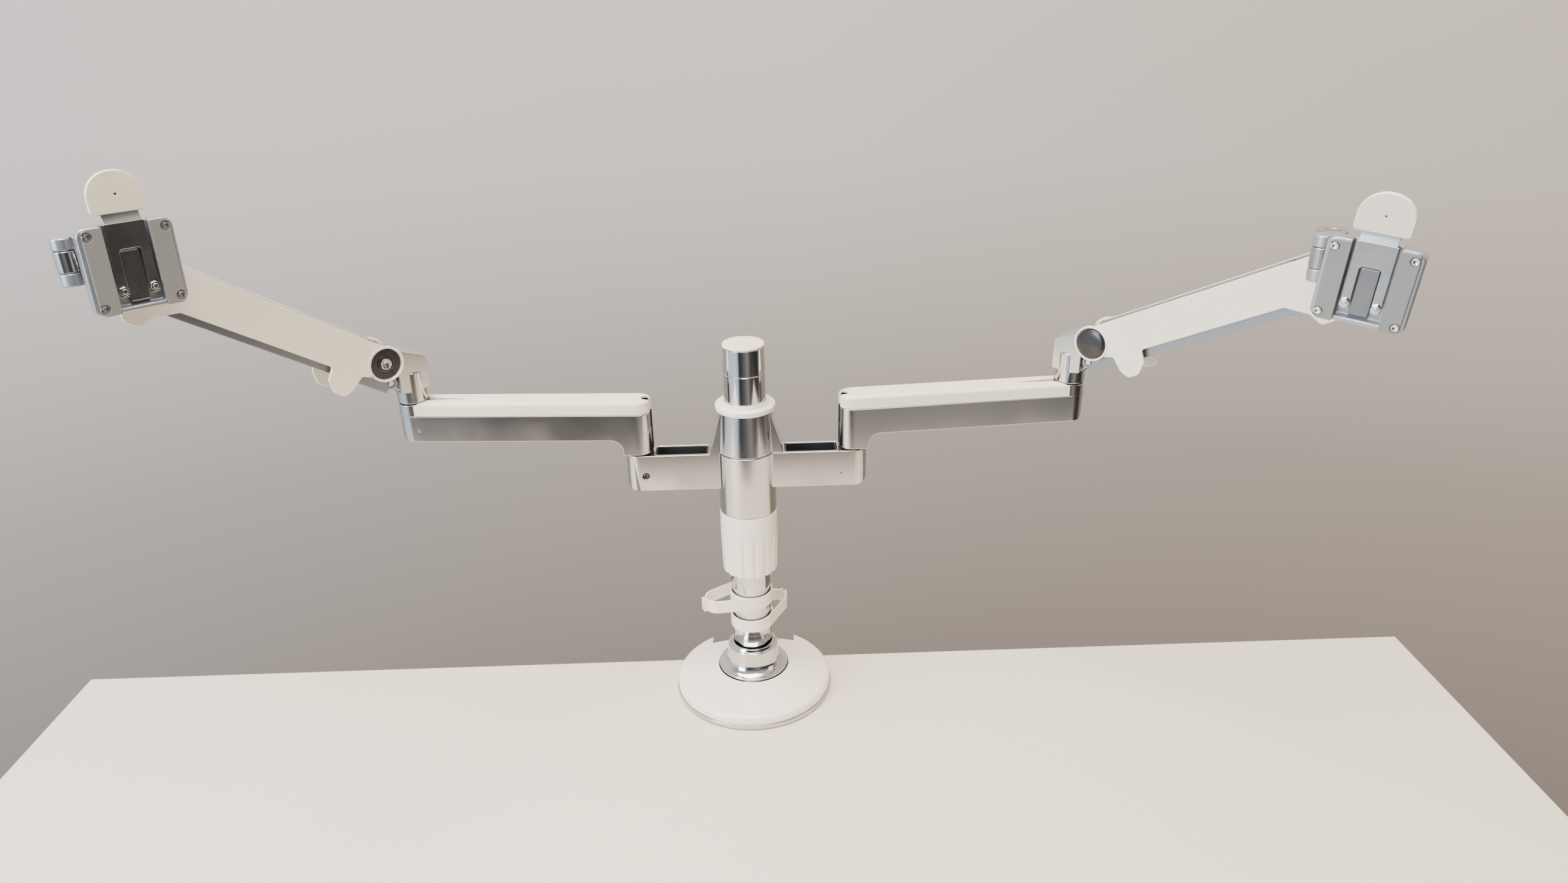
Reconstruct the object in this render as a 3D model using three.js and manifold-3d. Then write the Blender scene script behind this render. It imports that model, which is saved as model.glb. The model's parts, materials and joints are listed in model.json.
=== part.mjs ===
import * as THREE from "three";
import { mergeVertices } from "three/addons/utils/BufferGeometryUtils.js";
import Module from "manifold-3d";

const wasm = await Module();
wasm.setup();

// Millimetres, Z up. The origin is on the post's axis at the desk's surface; -Y faces the person at the desk.

// clearances
const restGap = 0.3; // between parts that lie on each other
const runGap = 0.3; // radial, around a pin or a tube
const sideGap = 0.6; // each side of an eye in its fork

// base and post
const baseRadius = 78.1;
const baseThick = 5.3;
const coverRadius = 77.2;
const coverWall = 2.6;
const flangeRadius = 34.6;
const flangeFootRadius = 33.6;
const flangeWall = 5.85; // of its neck, round the post
const notchHalfWidth = 43;
const notchFront = 44;
const postRadius = 19.05;
const postWall = 2.55;
const postTop = 364.9;
const postSeam = 340.3;
const postCapThick = 2.1;

// desk clamp
const deskThick = 25;
const clampLegThick = 6;
const clampHalfWidth = 30;
const clampDrop = 76;
const clampFront = -22;
const clampCorner = 12;
const clampPlateHalf = 38; // the plate held under the base's flange
const clampPlateThick = 5;
const clampScrewY = 8;
const clampScrewRadius = 4;
const clampPadRadius = 17;
const clampPadThick = 5;
const knobDrop = 58; // below the clamp's foot
const knobThick = 14;
const knobRadius = 13;
const knobLobeReach = 12;
const knobLobeRadius = 6.5;

// cable clips
const clipBand = 1.85;
const clipHeight = 13;
const clipLoopReach = 35;
const clipLoopRadius = 12.5;
const clipSlit = 1.6;
const clipLip = 1.6;
const clipLipReach = 3.2;

// height lock and hubs
const collarLow = 137.8;
const collarHigh = 202.5;
const colletRadius = postRadius + 3.65;
const collarRadius = colletRadius + 4.6;
const collarShelf = 3.2;
const fluteCount = 16;
const fluteRadius = 2.2;
const fluteLength = 44;
const hubLow = 202.8;
const hubBore = postRadius + 0.45;
const hubRadius = hubBore + 7.4;
const hubTopRadius = hubBore + 5.5;
const hubArmLow = 229;
const hubArmHigh = 264.1;
const hubArmReach = 98.6;
const hubArmHalf = 13;
const hubSplit = hubArmHigh + 0.6;
const hubTop = 305;
const wingFoot = 34;
const wingHead = 22;
const channelStart = 35.5;
const channelEnd = 84;
const channelHalf = 9.4;
const channelFloor = 236;
const linerWall = 1.2;
const setScrewRadius = 3;
const setScrewX = -93.3;
const setScrewZ = 244;
const hubRingRadius = postRadius + 8.65;
const hubRingNeck = postRadius + 2.45;

// links
const linkLength = 204.3;
const linkRadius = 13.4;
const linkBossLow = 265.4;
const linkLow = 280;
const linkHigh = 305;
const linkEndHigh = 316;
const linkCoverHigh = 317.6;
const linkCoverWall = 2.4;
const linkPinRadius = 6;
const linkPinDepth = 24;
const linkChannelHalf = 9.5;
const linkChannelFloor = 290;
const linkChannelStart = 12;
const linkChannelStop = 22; // short of the outer pivot
const linkNotchHalf = 4.5;
const bossSlotHalf = 4;
const bossSlotDepth = 5.4;
const coverRoomStop = 34;
const coverSlotStart = 48;
const coverSlotStop = 10;
const coverSlotHalf = 4.2;
const coverSlotTip = 0.8;

// elbow
const elbowLow = linkEndHigh + 1.2;
const elbowHalf = 12.2;
const pivotReach = 26.4;
const pivotHigh = 362.5;
const pivotBarrel = 11.5;
const axleRadius = 5.1;
const lowerPivot = [-4, -20.5]; // from the upper pivot, along the arm's heading and up
const lowerPinRadius = 3;
const lowerEyeHalf = 7.5;
const elbowBossDrop = 16.5; // its round boss ends this far below the pivot
const elbowPocket = 15.4; // where the web narrows for the lower link
const elbowBoreDepth = 13;

// arm
const armReach = 199.2;
const beamInner = elbowHalf + 0.7;
const beamWall = 2.2;
const beamEye = 13.2;
const beamRoof = 13.4;
const beamRoofThick = 2.5;
const beamSill = -6;
const roofStart = 18;
const roofStop = 23; // short of the outer pivot
const coverInner = beamInner + beamWall + restGap;
const coverThick = 2.6;
const coverHigh = 13.7;
const coverLow = -18.3;
const pivotRingRadius = 16;
const pivotRingBore = 14;
const pivotRingProud = 0.7;
const lowerOuter = 11.6;
const lowerWall = 2.1;
const lowerDeep = 10;
const lowerEye = 5.5;
const lowerFloorThick = 2;
const lowerFloorStop = 9; // short of each of its pivots
const strutRadius = 7;
const strutStart = 34;
const strutLength = 116;
const strutRodRadius = 3.4;
const strutRodStop = 14;
const strutHigh = beamRoof - beamRoofThick - restGap - strutRadius;
const hookDeep = 38.8;

// head mechanism
const spindleRadius = 8;
const spindleHigh = 22;
const spindlePin = 5;
const swingReach = 59;
const swingThick = 7.2;
const swingHalf = 6.2;
const swingBoss = 11;
const knuckleRadius = 7.1;
const knuckleHalf = 7.4; // the middle one; the outer two continue past it
const knuckleTop = 16.4;
const knuckleLow = -17;
const hingePinRadius = 3;
const barrelToTilt = [34.6, -1.2, -7.85];
const tiltBack = 20; // tilt axis behind the head's face
const tiltPinRadius = 3;
const tiltBarrel = 4.5;
const tiltHalf = 11;
const earThick = 3;

// head
const headHalf = 30.7;
const headCorner = 6.5;
const headBack = 11;
const stripThick = 2.1;
const stripInner = 15;
const stripWidth = 12.9;
const screwSpacing = 50;
const recessBack = 8;
const plateHalf = 13.1;
const plateSlotHalf = 6.9;
const plateFront = 3;
const plateThick = 1.4;
const recessLow = -27;
const padHalf = 6.2;
const padTop = 12;
const nutSpacing = 20;
const nutZ = -15.5;
const tabHalf = 18;
const tabLow = headHalf + 6.6;
const tabHigh = tabLow + 28.7;
const tabTongueTop = tabLow + 12.7;
const tabTongueHalf = 12;
const tabFront = 4.9;
const tabThick = 3.6;

// how each side stands at rest, in degrees
const sides = {
  left: { toward: -1, sweep: 3.3, heading: 42.8, pitch: 34.8, swing: -104, pan: 46.35, tilt: 1.05, turn: 0.64 },
  right: { toward: 1, sweep: 4.9, heading: 44.7, pitch: 28.4, swing: -123.5, pan: -38.63, tilt: 11.27, turn: 5.13 },
};

const radians = THREE.MathUtils.degToRad;

// ---- solids ----

const solidOf = (geometry) => {
  const bare = geometry.index ? geometry.toNonIndexed() : geometry.clone();
  bare.deleteAttribute("normal");
  bare.deleteAttribute("uv");
  const merged = mergeVertices(bare, 1e-4);
  const at = merged.attributes.position;
  const corners = [];
  let volume = 0;
  const [a, b, c] = [new THREE.Vector3(), new THREE.Vector3(), new THREE.Vector3()];
  for (let i = 0; i < merged.index.count; i += 3) {
    const [p, q, r] = [merged.index.getX(i), merged.index.getX(i + 1), merged.index.getX(i + 2)];
    if (p === q || q === r || r === p) continue;
    corners.push([p, q, r]);
    a.fromBufferAttribute(at, p);
    b.fromBufferAttribute(at, q);
    c.fromBufferAttribute(at, r);
    volume += a.dot(b.cross(c));
  }
  const facing = volume < 0 ? corners.map(([p, q, r]) => [p, r, q]) : corners;
  const mesh = new wasm.Mesh({
    numProp: 3,
    vertProperties: new Float32Array(at.array),
    triVerts: new Uint32Array(facing.flat()),
  });
  return new wasm.Manifold(mesh);
};

const block = (x0, x1, y0, y1, z0, z1) => {
  const geometry = new THREE.BoxGeometry(x1 - x0, y1 - y0, z1 - z0);
  return solidOf(geometry.translate((x0 + x1) / 2, (y0 + y1) / 2, (z0 + z1) / 2));
};

// upright cylinder, or a cone when a top radius is given
const rod = (radius, z0, z1, { x = 0, y = 0, top = radius, around = 28 } = {}) => {
  const geometry = new THREE.CylinderGeometry(top, radius, z1 - z0, around);
  return solidOf(geometry.rotateX(Math.PI / 2).translate(x, y, (z0 + z1) / 2));
};

// cylinder along Y
const bar = (radius, y0, y1, { x = 0, z = 0, around = 22 } = {}) => {
  const geometry = new THREE.CylinderGeometry(radius, radius, y1 - y0, around);
  return solidOf(geometry.translate(x, (y0 + y1) / 2, z));
};

// cylinder along X
const shaft = (radius, x0, x1, { y = 0, z = 0, around = 18 } = {}) => {
  const geometry = new THREE.CylinderGeometry(radius, radius, x1 - x0, around);
  return solidOf(geometry.rotateZ(-Math.PI / 2).translate((x0 + x1) / 2, y, z));
};

// a profile of [radius, z] turned about Z; it is closed here when it doesn't reach the axis
const turned = (profile, around = 36) => {
  const points = profile.map(([r, z]) => new THREE.Vector2(r, z));
  if (profile[0][0] > 0 || profile.at(-1)[0] > 0) points.push(points[0].clone());
  return solidOf(new THREE.LatheGeometry(points, around).rotateX(Math.PI / 2));
};

// corners are [x, y, radius]; each with a radius becomes an arc
const rounded = (corners, steps = 3) => {
  const points = [];
  corners.forEach(([x, y, radius = 0], i) => {
    const here = new THREE.Vector2(x, y);
    if (radius === 0) {
      points.push(here);
      return;
    }
    const before = new THREE.Vector2(...corners.at(i - 1)).sub(here).normalize();
    const after = new THREE.Vector2(...corners[(i + 1) % corners.length]).sub(here).normalize();
    const half = Math.acos(before.dot(after)) / 2;
    const middle = before.clone().add(after).normalize().multiplyScalar(radius / Math.sin(half)).add(here);
    const from = here.clone().addScaledVector(before, radius / Math.tan(half)).sub(middle).angle();
    const to = here.clone().addScaledVector(after, radius / Math.tan(half)).sub(middle).angle();
    const turn = THREE.MathUtils.euclideanModulo(to - from + Math.PI, 2 * Math.PI) - Math.PI;
    for (let k = 0; k <= steps; k += 1) {
      const angle = from + (turn * k) / steps;
      points.push(new THREE.Vector2(middle.x + radius * Math.cos(angle), middle.y + radius * Math.sin(angle)));
    }
  });
  return points;
};

const extruded = (points, depth) => {
  return new THREE.ExtrudeGeometry(new THREE.Shape(points), { depth, bevelEnabled: false });
};

// an outline in X and Y, raised along Z
const slab = (points, z0, z1) => solidOf(extruded(points, z1 - z0).translate(0, 0, z0));

// an outline in X and Z, raised along Y
const plate = (points, y0, y1) => solidOf(extruded(points, y1 - y0).rotateX(Math.PI / 2).translate(0, y1, 0));

// an outline in Y and Z, raised along X
const beam = (points, x0, x1) => {
  const geometry = extruded(points, x1 - x0).rotateX(Math.PI / 2).rotateZ(Math.PI / 2);
  return solidOf(geometry.translate(x0, 0, 0));
};

// outline of two circles on the X axis joined by their tangents
const teardrop = (x0, r0, x1, r1, steps = 13) => {
  const lean = Math.acos((r0 - r1) / (x1 - x0));
  const points = [];
  for (let k = 0; k <= steps; k += 1) {
    const angle = -lean + (2 * lean * k) / steps;
    points.push(new THREE.Vector2(x1 + r1 * Math.cos(angle), r1 * Math.sin(angle)));
  }
  for (let k = 0; k <= steps; k += 1) {
    const angle = lean + ((2 * Math.PI - 2 * lean) * k) / steps;
    points.push(new THREE.Vector2(x0 + r0 * Math.cos(angle), r0 * Math.sin(angle)));
  }
  return points;
};

const joined = (...solids) => solids.reduce((sum, next) => sum.add(next));
const cut = (solid, ...tools) => tools.reduce((rest, tool) => rest.subtract(tool), solid);
const moved = (solid, matrix) => solid.transform(Array.from(matrix.elements));
const flippedY = (solid) => solid.mirror([0, 1, 0]);

// ---- group and finishes ----

const object = new THREE.Group();

const finishes = {
  polished: { color: 0xb9bbbd, roughness: 0.16, metalness: 1 },
  chrome: { color: 0xc9cacb, roughness: 0.08, metalness: 1 },
  satin: { color: 0x8e949c, roughness: 0.38, metalness: 0.85 },
  steel: { color: 0xa7a6a2, roughness: 0.25, metalness: 1 },
  dark: { color: 0x2a2b2d, roughness: 0.45, metalness: 0.6 },
  ivory: { color: 0xe9e5d8, roughness: 0.42, metalness: 0 },
  gloss: { color: 0xf1eee6, roughness: 0.15, metalness: 0 },
  black: { color: 0x101113, roughness: 0.35, metalness: 0 },
  greyStrip: { color: 0x8f9494, roughness: 0.6, metalness: 0 },
};

const place = (name, solid, finish) => {
  const mesh = solid.getMesh();
  const positions = new Float32Array(mesh.triVerts.length * 3);
  mesh.triVerts.forEach((v, i) => {
    const start = v * mesh.numProp;
    positions.set(mesh.vertProperties.subarray(start, start + 3), i * 3);
  });
  const geometry = new THREE.BufferGeometry();
  geometry.setAttribute("position", new THREE.BufferAttribute(positions, 3));
  geometry.computeVertexNormals();
  const part = new THREE.Mesh(geometry, new THREE.MeshStandardMaterial(finishes[finish]));
  part.name = name;
  object.add(part);
};

// ---- base, post and clamp ----

const notch = () => block(-notchHalfWidth, notchHalfWidth, notchFront, baseRadius + 5, -1, 30);

const basePlateProfile = [
  [0, 0],
  [baseRadius - 0.6, 0],
  [baseRadius, 0.6],
  [baseRadius, baseThick - 0.4],
  [baseRadius - 0.4, baseThick],
  [0, baseThick],
];
place("base_plate", cut(turned(basePlateProfile, 48), notch()), "polished");

const baseTop = baseThick + restGap;
const coverEyeRadius = flangeRadius + 0.6;
const coverTop = 25.4;
const baseCoverProfile = [
  [coverRadius, baseTop],
  [coverRadius, 8.3],
  [coverRadius - 1, 11],
  [coverRadius - 2.8, 12.9],
  [coverRadius - 5.2, 13.9],
  [coverEyeRadius, coverTop],
  [coverEyeRadius, coverTop - coverWall],
  [coverRadius - 5.6, 11.4],
  [coverRadius - coverWall, 8.3],
  [coverRadius - coverWall, baseTop],
];
place("base_cover", cut(turned(baseCoverProfile, 52), notch()), "gloss");

const flangeBore = postRadius + runGap;
const flangeNeck = postRadius + flangeWall;
const flangeProfile = [
  [flangeBore, baseTop],
  [flangeFootRadius, baseTop],
  [flangeFootRadius, coverTop + restGap],
  [flangeRadius, coverTop + restGap],
  [flangeRadius, coverTop + 1.4],
  [flangeNeck + 6.3, 29.4],
  [flangeNeck + 3, 32.8],
  [flangeNeck + 1, 37.2],
  [flangeNeck + 0.2, 41],
  [flangeNeck, 48],
  [flangeNeck - 0.7, 49.6],
  [flangeNeck - 2.3, 50.4],
  [flangeNeck - 4.3, 53.2],
  [flangeBore, 53.2],
];
place("base_flange", turned(flangeProfile, 32), "chrome");

const postProfile = [
  [postRadius - postWall, baseTop],
  [postRadius, baseTop],
  [postRadius, postSeam - 0.4],
  [postRadius - 0.4, postSeam],
  [postRadius, postSeam + 0.4],
  [postRadius, postTop],
  [postRadius - postWall, postTop],
];
place("post_tube", turned(postProfile, 36), "chrome");

const capPlug = postRadius - postWall - runGap;
const capLow = postTop + restGap;
const postCapProfile = [
  [0, postTop - 5],
  [capPlug, postTop - 5],
  [capPlug, capLow],
  [postRadius, capLow],
  [postRadius, capLow + postCapThick - 0.7],
  [postRadius - 0.8, capLow + postCapThick],
  [0, capLow + postCapThick],
];
place("post_cap", turned(postCapProfile, 28), "ivory");

const clampBack = notchFront + 0.4 + clampLegThick;
const clampTop = baseTop + clampPlateThick;
const clampBracket = joined(
  block(-clampPlateHalf, clampPlateHalf, 0, clampBack, baseTop, clampTop),
  block(-clampHalfWidth, clampHalfWidth, clampBack - clampLegThick, clampBack, -clampDrop, clampTop),
  slab(
    rounded([
      [-clampHalfWidth, clampBack],
      [-clampHalfWidth, clampFront, clampCorner],
      [clampHalfWidth, clampFront, clampCorner],
      [clampHalfWidth, clampBack],
    ]),
    -clampDrop,
    -clampDrop + clampLegThick,
  ),
);
const clampHoleTop = -clampDrop + clampLegThick + 10;
const clampHole = rod(clampScrewRadius + runGap, -clampDrop - 2, clampHoleTop, { y: clampScrewY, around: 18 });
const flangeRoom = rod(flangeFootRadius + restGap + 0.2, 0, clampTop + 1, { around: 32 });
place("clamp_bracket", cut(clampBracket, clampHole, flangeRoom), "dark");

const clampPadTop = -deskThick - restGap;
const clampPadLow = clampPadTop - clampPadThick;
place("clamp_pad", rod(clampPadRadius, clampPadLow, clampPadTop, { y: clampScrewY, around: 26 }), "black");

const knobLow = -clampDrop - knobDrop;
const knobHigh = knobLow + knobThick;
const knobLobes = [0, 1, 2, 3, 4].map((k) => {
  const angle = (k * 2 * Math.PI) / 5;
  const [x, y] = [knobLobeReach * Math.cos(angle), clampScrewY + knobLobeReach * Math.sin(angle)];
  return rod(knobLobeRadius, knobLow, knobHigh, { x, y, around: 12 });
});
const clampScrew = joined(
  rod(clampScrewRadius, knobLow + 2, clampPadLow - restGap, { y: clampScrewY, around: 16 }),
  rod(knobRadius, knobLow, knobHigh, { y: clampScrewY, around: 20 }),
  ...knobLobes,
);
place("clamp_screw", clampScrew, "dark");

// ---- cable clips ----

const cableClip = (low, azimuth) => {
  const inner = postRadius + runGap;
  const outer = inner + clipBand;
  const high = low + clipHeight;
  const shell = slab(teardrop(0, outer, clipLoopReach, clipLoopRadius), low, high);
  const hollow = slab(teardrop(0, inner, clipLoopReach, clipLoopRadius - clipBand), low - 1, high + 1);
  const window = hollow.subtract(rod(outer, low - 2, high + 2, { around: 32 }));
  const tip = clipLoopReach + clipLoopRadius;
  const lips = block(tip - clipBand, tip + clipLipReach, -clipSlit - clipLip, clipSlit + clipLip, low, high);
  const slit = block(tip - 4, tip + 4, -clipSlit, clipSlit, low - 1, high + 1);
  const whole = cut(joined(shell, lips), window, slit, rod(inner, low - 1, high + 1, { around: 32 }));
  return moved(whole, new THREE.Matrix4().makeRotationZ(radians(azimuth)));
};
place("cable_clip_upper", cableClip(99.8, 201), "gloss");
place("cable_clip_lower", cableClip(73.6, 48), "gloss");

// ---- height lock ----

const collarProfile = [
  [hubBore, collarLow],
  [collarRadius - 1.7, collarLow],
  [collarRadius - 1.1, collarLow + 1.2],
  [collarRadius, collarLow + 40],
  [collarRadius, collarHigh - 0.9],
  [collarRadius - 0.7, collarHigh],
  [colletRadius + runGap, collarHigh],
  [colletRadius + runGap, collarLow + collarShelf],
  [hubBore, collarLow + collarShelf],
];
const flutes = [];
for (let k = 0; k < fluteCount; k += 1) {
  const angle = ((k + 0.5) * 2 * Math.PI) / fluteCount;
  const reach = collarRadius + 0.9;
  const at = { x: reach * Math.cos(angle), y: reach * Math.sin(angle), around: 8 };
  flutes.push(rod(fluteRadius, collarLow - 1, collarLow + fluteLength, at));
}
place("height_collar", cut(turned(collarProfile, 36), ...flutes), "gloss");

const colletProfile = [
  [postRadius + runGap, collarLow + collarShelf + restGap],
  [colletRadius, collarLow + collarShelf + restGap],
  [colletRadius, collarHigh],
  [postRadius + runGap, collarHigh],
];
place("collet_sleeve", turned(colletProfile, 32), "dark");

// ---- hubs ----

const capsule = (reach, radius, steps = 9) => teardrop(0, radius, reach, radius - 1e-3, steps);

// one outward arm of a hub along +X, with its cable channel and pivot bore
const hubArm = () => {
  const end = hubArmReach + linkRadius;
  const side = rounded([
    [0, hubArmLow],
    [end, hubArmLow, 9],
    [end, hubArmHigh],
    [0, hubArmHigh],
  ]);
  const footprint = slab(capsule(hubArmReach, hubArmHalf), hubArmLow - 1, hubArmHigh + 1);
  return plate(side, -hubArmHalf - 1, hubArmHalf + 1).intersect(footprint);
};
const hubArmCuts = () => [
  block(channelStart, channelEnd, -channelHalf, channelHalf, channelFloor, hubArmHigh + 5),
  rod(linkPinRadius + runGap, hubArmHigh - linkPinDepth, hubArmHigh + 5, { x: hubArmReach, around: 18 }),
];

const hubRight = cut(
  joined(rod(hubRadius, hubLow, hubArmHigh, { around: 36 }), hubArm()),
  ...hubArmCuts(),
  rod(hubBore, hubLow - 1, hubArmHigh + 1, { around: 32 }),
);
place("hub_lower", hubRight, "polished");

const leftArm = cut(
  joined(hubArm(), block(20, wingFoot, -hubArmHalf, hubArmHalf, hubArmHigh - 4, hubSplit + 0.1)),
  ...hubArmCuts(),
  rod(hubRadius + 0.4, hubArmLow - 1, hubSplit, { around: 36 }),
).mirror([1, 0, 0]);
const wings = plate(
  [
    [-wingFoot, hubSplit],
    [wingFoot, hubSplit],
    [wingHead, hubTop],
    [-wingHead, hubTop],
  ].map(([x, z]) => new THREE.Vector2(x, z)),
  -hubArmHalf,
  hubArmHalf,
);
const hubLeft = cut(
  joined(rod(hubRadius, hubSplit, hubTop, { top: hubTopRadius, around: 36 }), wings, leftArm),
  rod(hubBore, hubSplit - 1, hubTop + 1, { around: 32 }),
  bar(setScrewRadius + 0.4, -hubArmHalf - 1, -hubArmHalf + 3, { x: setScrewX, z: setScrewZ, around: 12 }),
);
place("hub_upper", hubLeft, "polished");

const atSetScrew = { x: setScrewX, z: setScrewZ };
const hexSocket = bar(1.6, -hubArmHalf, -hubArmHalf + 2, { ...atSetScrew, around: 6 });
const setScrew = bar(setScrewRadius, -hubArmHalf + 0.5, -hubArmHalf + 2.7, { ...atSetScrew, around: 12 });
place("hub_set_screw", setScrew.subtract(hexSocket), "dark");

const ringLow = hubTop + restGap;
const hubRingProfile = [
  [postRadius + runGap, ringLow],
  [hubRingRadius - 0.7, ringLow],
  [hubRingRadius, ringLow + 0.7],
  [hubRingRadius, ringLow + 4],
  [hubRingRadius - 0.6, ringLow + 4.7],
  [hubRingNeck + 0.1, ringLow + 5],
  [hubRingNeck, ringLow + 7.6],
  [hubRingNeck - 0.6, ringLow + 8.2],
  [postRadius + runGap, ringLow + 8.2],
];
place("hub_flange_ring", turned(hubRingProfile, 32), "gloss");

const liner = () => {
  const [x0, x1] = [channelStart + restGap, channelEnd - restGap];
  const half = channelHalf - restGap;
  const low = channelFloor + restGap;
  return cut(
    block(x0, x1, -half, half, low, hubArmHigh - 0.5),
    block(x0 + linerWall, x1 - linerWall, linerWall - half, half - linerWall, low + linerWall, hubArmHigh + 1),
  );
};
place("hub_liner_right", liner(), "black");
place("hub_liner_left", liner().mirror([1, 0, 0]), "black");

// ---- one arm, the same on both sides but for its pose ----

// a pin with the black washer that the part above turns on
const pivotPin = (washerLow) => {
  const low = washerLow - linkPinDepth + 0.3;
  return turned(
    [
      [0, low],
      [linkPinRadius, low],
      [linkPinRadius, washerLow],
      [linkRadius - 0.8, washerLow],
      [linkRadius - 0.8, washerLow + 0.6],
      [linkPinRadius, washerLow + 0.6],
      [linkPinRadius, washerLow + 13],
      [0, washerLow + 13],
    ],
    18,
  );
};

const linkArm = () => {
  const end = linkLength + linkRadius;
  const side = rounded([
    [-linkRadius, linkBossLow, 2],
    [linkRadius, linkBossLow],
    [linkRadius, linkLow, 4],
    [end, linkLow, 9],
    [end, linkHigh],
    [-linkRadius, linkHigh],
  ]);
  const footprint = slab(capsule(linkLength, linkRadius), linkBossLow - 1, linkEndHigh + 1);
  return cut(
    joined(
      plate(side, -linkRadius - 1, linkRadius + 1).intersect(footprint),
      rod(linkRadius - 0.02, linkHigh - 1, linkEndHigh, { x: linkLength, around: 32 }),
    ),
    block(
      linkChannelStart,
      linkLength - linkChannelStop,
      -linkChannelHalf,
      linkChannelHalf,
      linkChannelFloor,
      linkHigh + 1,
    ),
    block(
      -linkRadius - 1,
      linkChannelStart + 0.1,
      -linkNotchHalf,
      linkNotchHalf,
      linkChannelFloor,
      linkHigh + 1,
    ),
    block(
      -linkRadius - 1,
      -linkRadius + bossSlotDepth,
      -bossSlotHalf,
      bossSlotHalf,
      linkBossLow - 1,
      linkHigh + 1,
    ),
    rod(linkPinRadius + runGap, linkBossLow - 1, linkBossLow + elbowBoreDepth + 0.5, { around: 18 }),
    rod(linkPinRadius + runGap, linkEndHigh - linkPinDepth, linkEndHigh + 1, { x: linkLength, around: 18 }),
  );
};

const linkCover = () => {
  const low = linkHigh + restGap;
  const inner = linkRadius - linkCoverWall;
  const section = rounded([
    [-linkRadius, low],
    [linkRadius, low],
    [linkRadius, linkCoverHigh, 3.4],
    [-linkRadius, linkCoverHigh, 3.4],
  ]);
  const room = slab(capsule(linkLength - coverRoomStop, inner), low - 1, linkCoverHigh - linkCoverWall);
  const slot = [
    [linkLength - coverSlotStart, -coverSlotTip],
    [linkLength - coverSlotStop, -coverSlotHalf],
    [linkLength - coverSlotStop, coverSlotHalf],
    [linkLength - coverSlotStart, coverSlotTip],
  ].map(([x, y]) => new THREE.Vector2(x, y));
  return cut(
    beam(section, -linkRadius - 1, linkLength - 3).intersect(
      slab(capsule(linkLength, linkRadius), low, linkCoverHigh),
    ),
    room,
    rod(linkRadius + 0.5, low - 1, linkCoverHigh + 1, { x: linkLength, around: 32 }),
    block(-linkRadius - 1, -linkNotchHalf, -linkNotchHalf, linkNotchHalf, low - 1, linkCoverHigh + 1),
    slab(slot, low - 1, linkCoverHigh + 1),
  );
};

const [lowerX, lowerZ] = lowerPivot;

const elbow = () => {
  const webLow = elbowLow + 12;
  const web = rounded([
    [-linkRadius + 0.2, webLow],
    [-linkRadius + 0.2, pivotHigh - 4, 5],
    [pivotReach - 6, pivotHigh + 10.5, 3],
    [pivotReach + 3, pivotHigh],
    [pivotReach - 1, pivotHigh + lowerZ],
    [linkRadius - 0.2, webLow],
  ]);
  const p2 = { x: pivotReach + lowerX, z: pivotHigh + lowerZ, around: 12 };
  const pocketTop = pivotHigh - pivotBarrel + 0.2;
  const pocket = (y0, y1) => block(elbowPocket, pivotReach + 24, y0, y1, elbowLow, pocketTop);
  return joined(
    cut(
      joined(
        rod(linkRadius, elbowLow, pivotHigh - elbowBossDrop, { around: 28 }),
        plate(web, -elbowHalf, elbowHalf),
        bar(pivotBarrel, -elbowHalf, elbowHalf, { x: pivotReach, z: pivotHigh, around: 26 }),
      ),
      bar(axleRadius + runGap, -20, 20, { x: pivotReach, z: pivotHigh, around: 18 }),
      rod(linkPinRadius + runGap, elbowLow - 1, elbowLow + elbowBoreDepth, { around: 18 }),
      pocket(lowerEyeHalf, 20),
      pocket(-20, -lowerEyeHalf),
    ),
    bar(lowerPinRadius, -lowerOuter, lowerOuter, p2),
    bar(lowerEye, -lowerEyeHalf, lowerEyeHalf, p2),
  );
};

// the arm's own frame: x outward from its pivot, z square to it
const armBeam = () => {
  const wall = (y0, y1) =>
    joined(
      block(0, armReach, y0, y1, beamSill, beamRoof),
      bar(beamEye, y0, y1, { around: 26 }),
      bar(beamEye, y0, y1, { x: armReach, around: 26 }),
    );
  const outer = beamInner + beamWall;
  return cut(
    joined(
      wall(beamInner, outer),
      wall(-outer, -beamInner),
      block(roofStart, armReach - roofStop, -outer, outer, beamRoof - beamRoofThick, beamRoof),
    ),
    bar(axleRadius + runGap, -20, 20, { around: 18 }),
    bar(axleRadius + runGap, -20, 20, { x: armReach, around: 18 }),
  );
};

const coverOutline = rounded([
  [2, -14],
  [15.5, coverLow + 1, 2],
  [17.5, -31, 5],
  [22, -hookDeep, 5],
  [33, -hookDeep + 1, 5],
  [41.5, -30, 2.5],
  [43.5, coverLow, 2],
  [armReach - 31.2, coverLow, 4],
  [armReach - 15.2, -29, 4],
  [armReach - 10.2, -hookDeep, 4],
  [armReach + 3.8, -hookDeep, 6],
  [armReach + 6.8, -20, 8],
  [armReach + 14.8, -6, 7],
  [armReach + 13.8, 8, 6],
  [armReach + 3.8, coverHigh, 4],
  [2, coverHigh],
]);

const armCover = (open) => {
  const face = coverInner + coverThick;
  const whole = joined(
    plate(coverOutline, coverInner, face),
    bar(pivotRingRadius, coverInner, face + pivotRingProud, { around: 32 }),
  );
  return open ? whole.subtract(bar(pivotRingBore, coverInner - 1, face + 2, { around: 32 })) : whole;
};

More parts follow.
